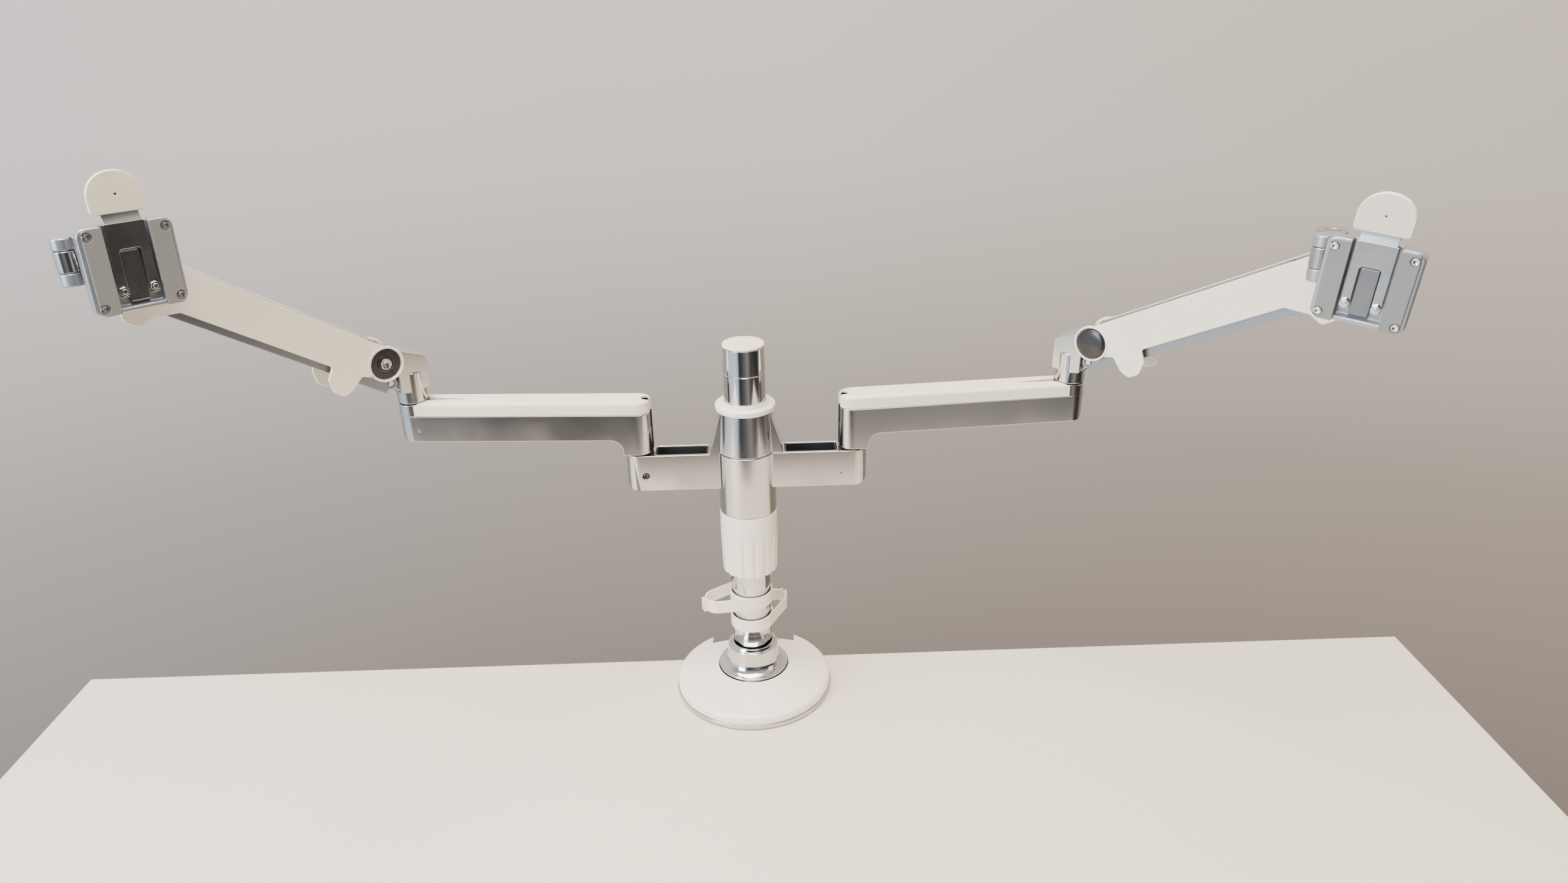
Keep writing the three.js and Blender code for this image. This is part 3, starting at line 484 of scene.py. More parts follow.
softLights = [  # name, place, aimed at, size across and along, watts, tint
    ("ceiling", (-0.3, -0.5, 2.3), (0, -0.1, 0.2), (2.2, 1.2), 125, (1, 0.93, 0.83)),
    ("windowLeft", (-1.7, -1.5, 0.9), (0.2, -0.1, 0.35), (1.0, 1.3), 62, (0.82, 0.91, 1)),
    ("sideRight", (2.1, -0.7, 1.3), (0.1, 0, 0.3), (0.8, 1.5), 8, (1, 0.95, 0.88)),
]


def addLights():
    for name, place, target, size, watts, tint in softLights:
        data = bpy.data.lights.new(name, "AREA")
        data.shape = "RECTANGLE"
        data.size, data.size_y = size
        data.energy = watts
        data.color = tint
        lamp = bpy.data.objects.new(name, data)
        lamp.location = place
        lamp.rotation_euler = (Vector(target) - Vector(place)).to_track_quat("-Z", "Y").to_euler()
        bpy.context.scene.collection.objects.link(lamp)


def addRoom():  # plain wall behind, dimmer towards the desk's level, and a soft room for reflections
    world = bpy.data.worlds.new("room")
    world.use_nodes = True
    bpy.context.scene.world = world
    tree = world.node_tree
    tree.nodes.clear()
    wire = Wire(tree)
    direction = wire.add("ShaderNodeTexCoord")
    parts = tree.nodes.new("ShaderNodeSeparateXYZ")
    tree.links.new(direction.socket, parts.inputs[0])
    up = Wire(tree, parts.outputs[2])
    away = Wire(tree, parts.outputs[1])
    across = Wire(tree, parts.outputs[0])
    wall = up.between(-0.62, 0.15).ramp(
        (0.0, (0.34, 0.29, 0.25)),
        (0.3, (0.6, 0.53, 0.47)),
        (0.6, (1.08, 0.99, 0.9)),
        (1.0, (1.3, 1.17, 1.05)),
    )
    tint = across.between(-0.6, 0.7).ramp(
        (0.0, (0.98, 1.0, 1.06)),
        (0.5, (1.0, 0.96, 0.93)),
        (1.0, (0.8, 0.73, 0.67)),
    )
    layers = {0: 1.0, 6: wall, 7: tint}
    wall = wire.add("ShaderNodeMix", layers, out=2, data_type="RGBA", blend_type="MULTIPLY")
    low = across.between(-0.8, 0.8).ramp(  # a bright window far to the left, a grey room beside it
        (0.0, (1.15, 1.3, 1.5)),
        (0.13, (1.15, 1.3, 1.5)),
        (0.24, (0.11, 0.115, 0.125)),
        (0.31, (0.05, 0.052, 0.056)),
        (0.5, (0.17, 0.17, 0.17)),
        (0.7, (0.38, 0.36, 0.34)),
        (0.85, (0.1, 0.1, 0.1)),
        (1.0, (0.05, 0.05, 0.05)),
    )
    high = up.between(0, 0.9).ramp(
        (0.0, (0.12, 0.12, 0.12)),
        (0.5, (0.35, 0.34, 0.33)),
        (1.0, (1.2, 1.14, 1.06)),
    )
    room = wire.mix(up.between(0.2, 0.55), low, high)
    around = wire.mix(away.between(-0.2, 0.3), room, wall)
    seen = wire.add("ShaderNodeLightPath")
    shown = wire.mix(seen, around, wall)
    light = wire.add("ShaderNodeBackground", {"Color": shown, "Strength": 1.0})
    end = tree.nodes.new("ShaderNodeOutputWorld")
    tree.links.new(light.socket, end.inputs["Surface"])


addCamera()
addDesk()
addLights()
addRoom()
print("stage made")

here = Matrix.Identity(4)  # the object's own frame
gap = 0.3  # left between parts that move or seat on each other

base = {
    "radius": 78.1,
    "top": 5.3,
    "foot": 0.9,
    "coverRadius": 77.2,
    "coverLow": 5.6,
    "coverTop": 25.4,
    "eye": 35.2,
    "notchHalf": 43,
    "notchFront": 44,
}
post = {"radius": 19.05, "bore": 16.5, "low": 5.6, "seam": 340.3, "top": 364.9, "cap": 2.1}


def baseNotch():
    half = base["notchHalf"]
    return block(-half, half, base["notchFront"], base["radius"] + 6, -1, 30)


def addBase():
    radius, top, foot = base["radius"], base["top"], base["foot"]
    outline = rounded([(0, foot), (radius, foot, 0.7), (radius, top, 0.6), (0, top)], 4)
    plate = turned(outline, around=192)
    piece("basePlate", carve(plate, baseNotch()), here, "base", polished, ["base_plate"], 0.2, 2)
    pad = turned([(0, 0), (radius - 1.6, 0), (radius - 1.2, foot + 0.1), (0, foot + 0.1)], around=160)
    piece("baseFootPad", carve(pad, baseNotch()), here, "base", matteBlack, edge=0)
    rim, low, high, eye = base["coverRadius"], base["coverLow"], base["coverTop"], base["eye"]
    outline = rounded(
        [
            (rim, low, 0.3),
            (rim, 13.0, 5.2),
            (57, 19.5, 90),
            (eye, high, 0.8),
            (eye, high - 2.6, 0.4),
            (57, 16.9, 80),
            (rim - 3, 10.4, 4),
            (rim - 2.6, low, 0.3),
        ]
    )
    cover = carve(turned(outline, around=192), baseNotch())
    piece("baseCover", cover, here, "base", gloss, ["base_cover"], 0.5, 3)


def addFlange():
    bore = post["radius"] + gap
    outline = rounded(
        [
            (bore, 5.6),
            (33.6, 5.6),
            (33.6, 25.7),
            (34.6, 25.7, 0.3),
            (34.6, 27.3, 0.7),
            (26.0, 30.6, 12),
            (24.6, 49.6, 1.0),
            (22.4, 50.6, 0.6),
            (21.2, 53.2, 0.8),
            (bore, 53.2, 0.3),
        ]
    )
    piece("baseFlange", turned(outline, around=128), here, "base", chrome, ["base_flange"], 0)


def addPost():
    radius, seam, top = post["radius"], post["seam"], post["top"]
    outline = rounded(
        [
            (post["bore"], post["low"]),
            (radius, post["low"]),
            (radius, seam - 0.5, 0.25),
            (radius - 0.45, seam, 0.1),
            (radius, seam + 0.5, 0.25),
            (radius, top, 0.4),
            (post["bore"], top),
        ],
        4,
    )
    piece("postTube", turned(outline, around=128), here, "base", chrome, ["post_tube"], 0)
    low = top + gap
    high, stem = low + post["cap"], post["bore"] - gap
    outline = rounded(
        [
            (0, top - 5),
            (stem, top - 5),
            (stem, low),
            (radius, low, 0.2),
            (radius, high, 1.0),
            (0, high),
        ],
        5,
    )
    piece("postCap", turned(outline, around=96), here, "base", ivory, ["post_cap"], 0)


clamp = {
    "leg": 6,
    "half": 30,
    "toe": -22,
    "shoulder": 38,
    "low": 5.6,
    "high": 10.6,
    "postRoom": 34.1,
    "drop": 76,
    "screwY": 8,
    "screw": 4,
    "pitch": 1.5,
    "groove": 0.5,
    "pad": 17,
    "knobReach": 16.4,
    "knobWave": 2.1,
    "knobHigh": 14,
    "knobDrop": 58,
}


def addClamp():
    half, drop, leg = clamp["half"], clamp["drop"], clamp["leg"]
    low, high, toe = clamp["low"], clamp["high"], clamp["toe"]
    back = base["notchFront"] + 0.4 + leg
    foot = rounded([(-half, back), (-half, toe, 12), (half, toe, 12), (half, back)])
    bracket = join(
        block(-clamp["shoulder"], clamp["shoulder"], 0, back, low, high),
        block(-half, half, back - leg, back, -drop, high),
        prism(foot, -drop, -drop + leg),
    )
    at = (0, clamp["screwY"], 0)
    carve(
        bracket,
        rod(clamp["screw"] + gap, -drop - 2, -60, at=at, around=48),
        rod(clamp["postRoom"], 0, high + 1, around=96),
    )
    piece("clampBracket", bracket, here, "base", darkMetal, ["clamp_bracket"], 0.9, 3)
    top, pad = -desk["thick"] - gap, clamp["pad"]
    outline = [(0, top - 5), (pad - 2, top - 5, 1), (pad, top - 2.4, 0.6), (pad, top, 0.5), (0, top)]
    disc = turned(rounded(outline, 4), at=at, around=72)
    piece("clampPad", disc, here, "clamp_foot", matteBlack, ["clamp_pad"], 0)
    knobLow = -drop - clamp["knobDrop"]
    screwTop = top - 5.3
    crest = clamp["screw"]
    root = crest - clamp["groove"]
    thread = [(0, knobLow + 2), (root, knobLow + 2)]
    level = knobLow + 16
    while level < screwTop - 2:
        thread += [(root, level), (crest, level + 0.55), (root, level + 1.1)]
        level += clamp["pitch"]
    thread += [(root, screwTop), (0, screwTop)]
    screw = turned(thread, at=at, around=32)
    piece("clampScrew", screw, here, "clamp_spindle", steel, ["clamp_screw"], 0)
    lobes = []
    for k in range(90):
        angle = 2 * math.pi * k / 90
        reach = clamp["knobReach"] + clamp["knobWave"] * math.cos(5 * angle)
        lobes.append((reach * math.cos(angle), clamp["screwY"] + reach * math.sin(angle)))
    knob = prism(lobes, knobLow, knobLow + clamp["knobHigh"])
    piece("clampKnob", knob, here, "clamp_spindle", matteBlack, edge=2.2, steps=4)


addBase()
addFlange()
addPost()
addClamp()
print("base and post made")

clip = {"band": 1.85, "high": 13, "reach": 35, "loop": 12.5, "slit": 1.6}


def addClip(name, node, body, low, azimuth):
    inner = post["radius"] + gap
    outer = inner + clip["band"]
    high, tip = low + clip["high"], clip["reach"] + clip["loop"]
    window = carve(
        prism(teardrop(0, inner, clip["reach"], clip["loop"] - clip["band"], 40), low - 1, high + 1),
        rod(outer, low - 2, high + 2, around=96),
    )
    whole = join(
        prism(teardrop(0, outer, clip["reach"], clip["loop"], 40), low, high),
        block(tip - clip["band"], tip + 3.2, -clip["slit"] - 1.6, clip["slit"] + 1.6, low, high),
    )
    carve(whole, window, block(tip - 4, tip + 4, -clip["slit"], clip["slit"], low - 1, high + 1))
    carve(whole, rod(inner, low - 1, high + 1, around=96))
    piece(name, whole, Matrix.Rotation(math.radians(azimuth), 4, "Z"), body, gloss, [node], 0.42, 3)


addClip("cableClipUpper", "cable_clip_upper", "clip_upper", 99.8, 201)
addClip("cableClipLower", "cable_clip_lower", "clip_lower", 73.6, 48)

collar = {
    "low": 137.8,
    "high": 202.5,
    "radius": 27.3,
    "foot": 26.2,
    "footRound": 1.2,
    "bore": 19.5,
    "room": 23.0,
    "shelf": 3.2,
    "flutes": 16,
    "fluteLong": 43,
    "fluteDeep": 1.25,
    "fluteHalf": 2.1,
}


def collarRows():  # height, radius, share of the flute's depth
    low, high, radius = collar["low"], collar["high"], collar["radius"]
    foot, soft, top = collar["foot"], collar["footRound"], low + collar["fluteLong"]
    rows = []
    for k in range(4, -1, -1):
        angle = math.pi / 2 * k / 4
        rows.append((low + soft * (1 - math.sin(angle)), foot - soft * (1 - math.cos(angle)), 1.0))
    for k in range(1, 13):
        share = k / 12
        height = low + soft + (top - low - soft) * share
        rows.append((height, foot + (radius - foot) * share, math.sqrt(1 - share**14)))
    plain = [
        (top + 3, radius),
        (high - 1, radius),
        (high - 0.3, radius - 0.3),
        (high, radius - 1),
        (high, collar["room"]),
        (low + collar["shelf"], collar["room"]),
        (low + collar["shelf"], collar["bore"]),
        (low, collar["bore"]),
    ]
    return rows + [(z, reach, 0) for z, reach in plain]


def addCollar():
    flutes = collar["flutes"]
    around = flutes * 18
    rows = collarRows()
    points, faces = [], []
    for z, radius, share in rows:
        for k in range(around):
            angle = 2 * math.pi * k / around
            offset = abs((angle * flutes / (2 * math.pi)) % 1 - 0.5) * 2 * math.pi * radius / flutes
            dip = max(0.0, 1 - (offset / collar["fluteHalf"]) ** 2)
            reach = radius - share * collar["fluteDeep"] * math.sqrt(dip)
            points.append((reach * math.cos(angle), reach * math.sin(angle), z))
    for row in range(len(rows)):
        ring, above = row * around, (row + 1) % len(rows) * around
        for k in range(around):
            beside = (k + 1) % around
            faces.append([ring + k, ring + beside, above + beside, above + k])
    piece("heightCollar", solidFrom(points, faces), here, "lock_collar", gloss, ["height_collar"], 0)


addCollar()

hub = {
    "low": 202.8,
    "radius": 26.9,
    "bore": 19.5,
    "armLow": 229,
    "armHigh": 264.1,
    "armHalf": 13,
    "reach": 98.6,
    "split": 264.7,
    "top": 305,
    "wingFoot": 34,
    "wingHead": 22,
    "pin": 6.3,
    "screwAt": (-93.3, 244),
    "plugAt": (87, 242),
}
channel = {"start": 35.5, "end": 84, "half": 9.4, "floor": 236}
link = {
    "length": (jointPoint("elbow_swing_left") - jointPoint("link_swing_left")).xy.length,
    "radius": 13.4,
    "bossLow": 265.4,
    "low": 280,
    "high": 305,
    "endHigh": 316,
    "coverHigh": 317.6,
    "wall": 2.4,
    "floor": 290,
}


def hubArm():
    low, high, half = hub["armLow"], hub["armHigh"], hub["armHalf"]
    end = hub["reach"] + link["radius"]
    side = rounded([(0, low), (end, low, 9), (end, high), (0, high)], 12)
    footprint = prism(pillOutline(hub["reach"], half), low - 1, high + 1)
    return common(prism(side, -15, 15, "xz"), footprint)


def trough(inset, near, far):  # the channel's outline, drawn in by inset, with its corner radii
    x0, x1, half = channel["start"] + inset, channel["end"] - inset, channel["half"] - inset
    return rounded([(x0, -half, near), (x1, -half, far), (x1, half, far), (x0, half, near)], 5)


def hubArmCuts():
    high = hub["armHigh"]
    return [
        prism(trough(0, 1.5, 3), channel["floor"], high + 5),
        rod(hub["pin"], high - 24, high + 5, at=(hub["reach"], 0, 0), around=48),
    ]


def addHubs():
    low, high, split, top = hub["low"], hub["armHigh"], hub["split"], hub["top"]
    radius, half, wing = hub["radius"], hub["armHalf"], hub["wingFoot"]
    lower = join(rod(radius, low, high, around=128), hubArm())
    carve(lower, *hubArmCuts(), rod(hub["bore"], low - 1, high + 1, around=96))
    piece("hubLower", lower, here, "hub_right", polished, ["hub_lower"], 0.75, 4)
    leftArm = join(hubArm(), block(20, wing, -half, half, high - 4, split + 0.1))
    carve(leftArm, *hubArmCuts(), rod(radius + 0.4, hub["armLow"] - 1, split, around=128))
    leftArm.data.transform(Matrix.Scale(-1, 4, (1, 0, 0)))
    leftArm.data.flip_normals()
    cone = turned([(0, split), (radius, split), (25, top), (0, top)], around=128)
    wings = [(-wing, split), (wing, split), (hub["wingHead"], top), (-hub["wingHead"], top)]
    upper = join(cone, prism(wings, -half, half, "xz"), leftArm)
    x, z = hub["screwAt"]
    carve(
        upper,
        rod(hub["bore"], split - 1, top + 1, around=96),
        rod(3.3, -half - 1, -half + 3, "y", (x, 0, z), 40),
    )
    piece("hubUpper", upper, here, "hub_left", polished, ["hub_upper"], 0.75, 4)


def hexagon(reach, x=0, y=0, turn=0.0):
    angles = [math.pi * (k / 3 + turn) for k in range(6)]
    return [(x + reach * math.cos(angle), y + reach * math.sin(angle)) for angle in angles]


def socketScrew(radius, high, socket, deep):  # head faces -Y, its seat at y 0
    outline = rounded([(0, -high), (radius, -high, radius * 0.22), (radius, 0), (0, 0)], 4)
    return carve(turned(outline, "y", around=40), prism(hexagon(socket), -high - 1, -high + deep, "xz"))


def addHubFittings():
    x, z = hub["screwAt"]
    place = Matrix.Translation((x, -hub["armHalf"] + 2.6, z))
    screw = socketScrew(2.9, 1.9, 1.6, 1.2)
    piece("hubSetScrew", screw, place, "hub_left", darkMetal, ["hub_set_screw"], 0)
    x, z = hub["plugAt"]
    place = Matrix.Translation((x, -hub["armHalf"] + 0.45, z))
    plug = socketScrew(1.1, 0.5, 0.45, 0.4)
    piece("hubArmPlug", plug, place, "hub_right", darkMetal, edge=0)
    low, bore = hub["top"] + gap, 19.35
    outline = rounded(
        [
            (bore, low),
            (27.7, low, 0.7),
            (27.7, low + 4.8, 1.2),
            (21.7, low + 5.2, 0.8),
            (21.4, low + 8.2, 0.8),
            (bore, low + 8.2, 0.3),
        ],
        5,
    )
    piece("hubRing", turned(outline, around=128), here, "hub_left", gloss, ["hub_flange_ring"], 0)
    wall, floor = 1.2, channel["floor"] + gap
    for side, heading in (("left", math.pi), ("right", 0)):
        liner = carve(
            prism(trough(gap, 1.2, 2.7), floor, hub["armHigh"] - 0.5),
            prism(trough(gap + wall, 0.6, 1.5), floor + wall, hub["armHigh"] + 1),
        )
        place = Matrix.Rotation(heading, 4, "Z")
        piece(f"hubLiner.{side}", liner, place, f"hub_{side}", matteBlack, [f"hub_liner_{side}"], 0.3, 2)


addHubs()
addHubFittings()
print("hubs made")

elbow = {
    "reach": (jointPoint("arm_lift_left") - jointPoint("elbow_swing_left")).xy.length,
    "low": 317.2,
    "half": 12.2,
    "pivotHigh": 362.5,
    "barrel": 11.5,
    "axle": 5.1,
    "pinX": -4,
    "pinZ": -20.5,
    "eyeHalf": 7.5,
}
arm = {
    "reach": (jointPoint("yoke_level_left") - jointPoint("arm_lift_left")).length,
    "inner": 12.9,
    "wall": 2.2,
    "eye": 13.2,
    "roof": 13.4,
    "coverInner": 15.4,
    "coverThick": 2.6,
    "coverHigh": 13.7,
    "coverLow": -18.3,
    "ring": 16,
    "ringBore": 14,
    "ringProud": 0.7,
    "hook": 38.8,
}
lower = {"outer": 11.6, "wall": 2.1, "deep": 10, "eye": 5.5, "pin": 3}
strut = {"radius": 7, "rod": 3.4, "start": 34, "end": 150, "z": 3.6}


def armFrames(side):
    inner, outer = jointPoint(f"link_swing_{side}"), jointPoint(f"elbow_swing_{side}")
    pivot, end = jointPoint(f"arm_lift_{side}"), jointPoint(f"yoke_level_{side}")
    hinge = jointPoint(f"head_pan_{side}")
    inner.z = outer.z = 0
    heading = Vector((pivot.x - outer.x, pivot.y - outer.y, 0)).normalized()
    across = Vector((-heading.y, heading.x, 0))
    tiltAxis, faceAxis = jointAxis(f"head_tilt_{side}"), jointAxis(f"head_turn_{side}")
    upAxis = jointAxis(f"latch_slide_{side}")
    tilt = jointPoint(f"head_tilt_{side}")
    return {
        "link": levelFrame(inner, outer - inner),
        "inner": Matrix.Translation(inner),
        "outer": Matrix.Translation(outer),
        "elbow": levelFrame(outer, heading),
        "arm": frameAt(pivot, (end - pivot).normalized(), across),
        "lower": frameAt(jointPoint(f"lower_link_pivot_{side}"), (end - pivot).normalized(), across),
        "yoke": levelFrame(end, heading),
        "swing": levelFrame(end, hinge - end),
        "bracket": frameAt(hinge, tiltAxis, Vector((-tiltAxis.y, tiltAxis.x, 0))),
        "tilt": frameAt(tilt, tiltAxis, faceAxis),
        "head": frameAt(tilt - 20 * faceAxis, faceAxis.cross(upAxis), faceAxis),
    }


def addPins(side, at):
    stem, washer, thick = 6, 12.6, 0.6
    seats = {
        "inner": (hub["armHigh"] + 0.4, f"hub_{side}"),
        "outer": (link["endHigh"] + gap, f"link_{side}"),
    }
    for name, (low, body) in seats.items():
        high = low + thick
        outline = [(0, low - 20), (stem, low - 20), (stem, low), (washer, low)]
        outline += [(washer, high), (stem, high), (stem, low + 12), (0, low + 12)]
        pin = turned(outline, around=72)
        piece(f"linkPin_{name}.{side}", pin, at[name], body, matteBlack, [f"link_pin_{name}_{side}"], 0)


def addLink(side, at):
    length, radius, bore = link["length"], link["radius"], 6.3
    low, high, floor = link["bossLow"], link["high"], link["floor"]
    profile = rounded(
        [
            (-radius, low, 2.5),
            (radius, low),
            (radius, link["low"], 10.5),
            (length + radius, link["low"], 9),
            (length + radius, high),
            (-radius, high),
        ],
        12,
    )
    footprint = prism(pillOutline(length, radius), low - 1, link["endHigh"] + 1)
    end = (length, 0, 0)
    solid = join(
        common(prism(profile, -radius - 1, radius + 1, "xz"), footprint),
        rod(radius - 0.02, high - 1, link["endHigh"], at=end, around=112),
    )
    carve(
        solid,
        block(12, length - 22, -9.5, 9.5, floor, high + 1),
        block(-radius - 1, 12.1, -4.5, 4.5, floor, high + 1),
        block(-radius - 1, -8, -4, 4, low - 1, high + 1),
        rod(bore, low - 1, low + 13.5, around=48),
        rod(bore, link["endHigh"] - 24, link["endHigh"] + 1, at=end, around=48),
    )
    place, body = at["link"], f"link_{side}"
    piece(f"linkArm.{side}", solid, place, body, polished, [f"link_arm_{side}"], 0.9, 4)
    addLinkLinings(side, place, body)
    if side == "left":
        turn = Matrix.Rotation(math.pi, 4, "Z")
        seat = place @ Matrix.Translation((length - 6, radius - 0.35, 291)) @ turn
        plug = socketScrew(1.6, 0.5, 0.8, 0.4)
        piece(f"linkPlug.{side}", plug, seat, body, steel, edge=0)


def addLinkLinings(side, place, body):  # black in the cable slot and the channel; the black sheet under the cover's slot is painted shade
    length, high, floor = link["length"], link["high"], link["floor"]
    outer, inner, back, front = 3.9, 3.3, -8.1, -12.7
    slot = [(front, -outer), (front, -inner), (back - 0.6, -inner), (back - 0.6, inner)]
    slot += [(front, inner), (front, outer), (back, outer), (back, -outer)]
    lining = prism(slot, link["bossLow"] + 0.6, high - 0.6)
    bottom = block(13, length - 23, -9.2, 9.2, floor + 0.2, floor + 1.0)
    # painted shade: a thin black sheet under the cover's slot, so the channel looks dark through it
    start, end = length - 49, length - 14.2
    shade = prism([(start, -2), (end, -5.4), (end, 5.4), (start, 2)], high + 0.02, high + 0.27)
    for name, solid in (("SlotLining", lining), ("ChannelLining", bottom), ("SlotShadeSheet", shade)):
        piece(f"link{name}.{side}", solid, place, body, matteBlack, edge=0)


def addLinkCover(side, at):
    length, radius, wall = link["length"], link["radius"], link["wall"]
    low, high = link["high"] + gap, link["coverHigh"]
    solid = pill(length, radius, low, high, topRound=3.4, steps=7)
    slot = rounded([(length - 48, -0.8), (length - 10, -4.2), (length - 10, 4.2), (length - 48, 0.8)])
    entry = rounded([(-radius - 2, -4.5), (-4.5, -4.5, 3.5), (-4.5, 4.5, 3.5), (-radius - 2, 4.5)], 8)
    carve(
        solid,
        prism(pillOutline(length - 34, radius - wall), low - 1, high - wall),
        rod(radius + 0.5, low - 1, high + 1, at=(length, 0, 0), around=112),
        prism(entry, low - 1, high + 1),
        prism(slot, low - 1, high + 1),
    )
    piece(f"linkCover.{side}", solid, at["link"], f"link_{side}", ivory, [f"link_cover_{side}"], 0.45, 3)


def addElbow(side, at):
    radius, reach = link["radius"], elbow["reach"]
    low, high = elbow["low"], elbow["pivotHigh"]
    half, eyeHalf, under = elbow["half"], elbow["eyeHalf"], high - elbow["barrel"] + 0.2
    web = rounded(
        [
            (-radius + 0.2, low + 12),
            (-radius + 0.2, high - 4, 6),
            (reach - 6, high + 10.5, 4),
            (reach + 3, high),
            (reach - 1, high + elbow["pinZ"]),
            (radius - 0.2, low + 12),
        ],
        10,
    )
    pin = (reach + elbow["pinX"], 0, high + elbow["pinZ"])
    solid = join(
        rod(radius, low, high - 16.5, around=96),
        prism(web, -half, half, "xz"),
        rod(elbow["barrel"], -half, half, "y", (reach, 0, high), 80),
    )
    carve(
        solid,
        rod(elbow["axle"] + gap, -20, 20, "y", (reach, 0, high), 48),
        rod(6.3, low - 1, low + 13, around=48),
        block(15.4, 50, eyeHalf, 20, low, under),
        block(15.4, 50, -20, -eyeHalf, low, under),
    )
    join(
        solid,
        rod(lower["eye"], -eyeHalf, eyeHalf, "y", pin, 48),
        rod(lower["pin"], -lower["outer"], lower["outer"], "y", pin, 36),
    )
    body = f"elbow_{side}"
    piece(f"elbowCasting.{side}", solid, at["elbow"], body, polished, [body], 0.9, 4)


def addBeam(side, at):
    reach, inner, eye, roof = arm["reach"], arm["inner"], arm["eye"], arm["roof"]
    outer, bore, end = inner + arm["wall"], 5.4, (reach, 0, 0)

    def wall(y0, y1):
        return [
            block(0, reach, y0, y1, -6, roof),
            rod(eye, y0, y1, "y", around=72),
            rod(eye, y0, y1, "y", end, 72),
        ]

    first, *rest = wall(inner, outer)
    top = block(18, reach - 23, -outer, outer, roof - 2.5, roof)
    solid = join(first, *rest, *wall(-outer, -inner), top)
    carve(solid, rod(bore, -20, 20, "y", around=40), rod(bore, -20, 20, "y", end, 40))
    place, body = at["arm"], f"arm_{side}"
    piece(f"armBeam.{side}", solid, place, body, armGrey, [f"arm_beam_{side}"], 0.8, 3)
    radius, low, high, line = strut["radius"], strut["start"], strut["end"], (0, 0, strut["z"])
    outline = rounded([(0, low), (radius, low, 1.6), (radius, high, 1.2), (0, high)], 4)
    tube = join(
        turned(outline, "x", line, 56),
        rod(strut["rod"], high - 2, reach - 14, "x", line, 40),
    )
    piece(f"gasStrut.{side}", tube, place, body, darkMetal, [f"gas_strut_{side}"], 0)


def coverOutline():
    low, hook, high = arm["coverLow"], arm["hook"], arm["coverHigh"]
    return rounded(
        [
            (2, -14),
            (15.5, low + 1, 2.5),
            (17.5, -31, 8),
            (22.5, -hook, 5.5),
            (33, -hook + 0.6, 6),
            (41.5, -30, 3),
            (43.5, low, 2.5),
            (168, low, 5),
            (184, -29, 5),
            (189, -hook, 4),
            (203, -hook, 6),
            (206, -20, 8),
            (214, -6, 7),
            (213, 8, 6),
            (203, high, 4),
            (2, high),
        ],
        9,
    )


def addCovers(side, at):
    place, body = at["arm"], f"arm_{side}"
    low = arm["coverInner"]
    high = low + arm["coverThick"]
    proud, radius = high + arm["ringProud"], arm["ring"]
    for name, mirrored, recessed in (("front", side == "right", True), ("back", side == "left", False)):
        ring = rounded([(0, low), (radius, low), (radius, proud, 0.8), (0, proud)], 5)
        solid = join(prism(coverOutline(), low, high, "xz"), turned(ring, "y", around=96))
        if recessed:
            carve(solid, rod(arm["ringBore"], low - 1, high + 3, "y", around=80))
        nodes = [f"arm_cover_{name}_{side}"]
        piece(f"armCover_{name}.{side}", solid, place, body, ivory, nodes, 0.85, 4, mirrored)
    if side == "left":
        addOpenPivot(side, place, body, low)
    else:
        addPivotCap(side, place, body, low)


def addOpenPivot(side, place, body, low):  # the cap is off: a black recess and the axle's bright socket
    top, tip = low + 0.9, low + 2.4
    disc = turned(rounded([(0, low), (13.7, low), (13.7, top, 0.4), (0, top)], 4), "y", around=80)
    carve(disc, rod(5.5, low - 1, low + 2, "y", around=48))
    piece(f"pivotDisc.{side}", disc, place, body, black, [f"pivot_disc_{side}"], 0)
    rim = rounded([(5.6, top), (7.4, top), (7.0, low + 1.6, 0.3), (5.9, low + 1.7, 0.3)], 4)
    washer = turned(rim, "y", around=64)
    piece(f"pivotWasher.{side}", washer, place, body, darkMetal, edge=0)
    axle = armAxle(tip)
    carve(axle, prism(hexagon(2.3), tip - 1.8, tip + 1, "xz"))
    piece(f"armAxle.{side}", axle, place, body, steel, [f"arm_axle_{side}"], 0)


def addPivotCap(side, place, body, low):
    shoulder, crown = 12.6, low + 3.4
    dome = [(0, low), (13.5, low), (13.6, low + 1.6), (13.3, low + 2.6), (shoulder, crown)]
    for k in range(1, 8):
        angle = math.pi / 2 * k / 8
        dome.append((shoulder * math.cos(angle), crown + 1.7 * math.sin(angle)))
    dome.append((0, low + 5.1))
    cap = turned(dome, "y", around=96)
    piece(f"pivotCap.{side}", cap, place, body, black, [f"pivot_disc_{side}"], 0, mirrored=True)
    axle = armAxle(low - gap)
    piece(f"armAxle.{side}", axle, place, body, steel, [f"arm_axle_{side}"], 0, mirrored=True)


def armAxle(tip):
    radius, low = 5.1, -15.1
    outline = rounded([(0, low), (radius, low, 0.4), (radius, tip, 0.6), (0, tip)], 4)
    return turned(outline, "y", around=56)


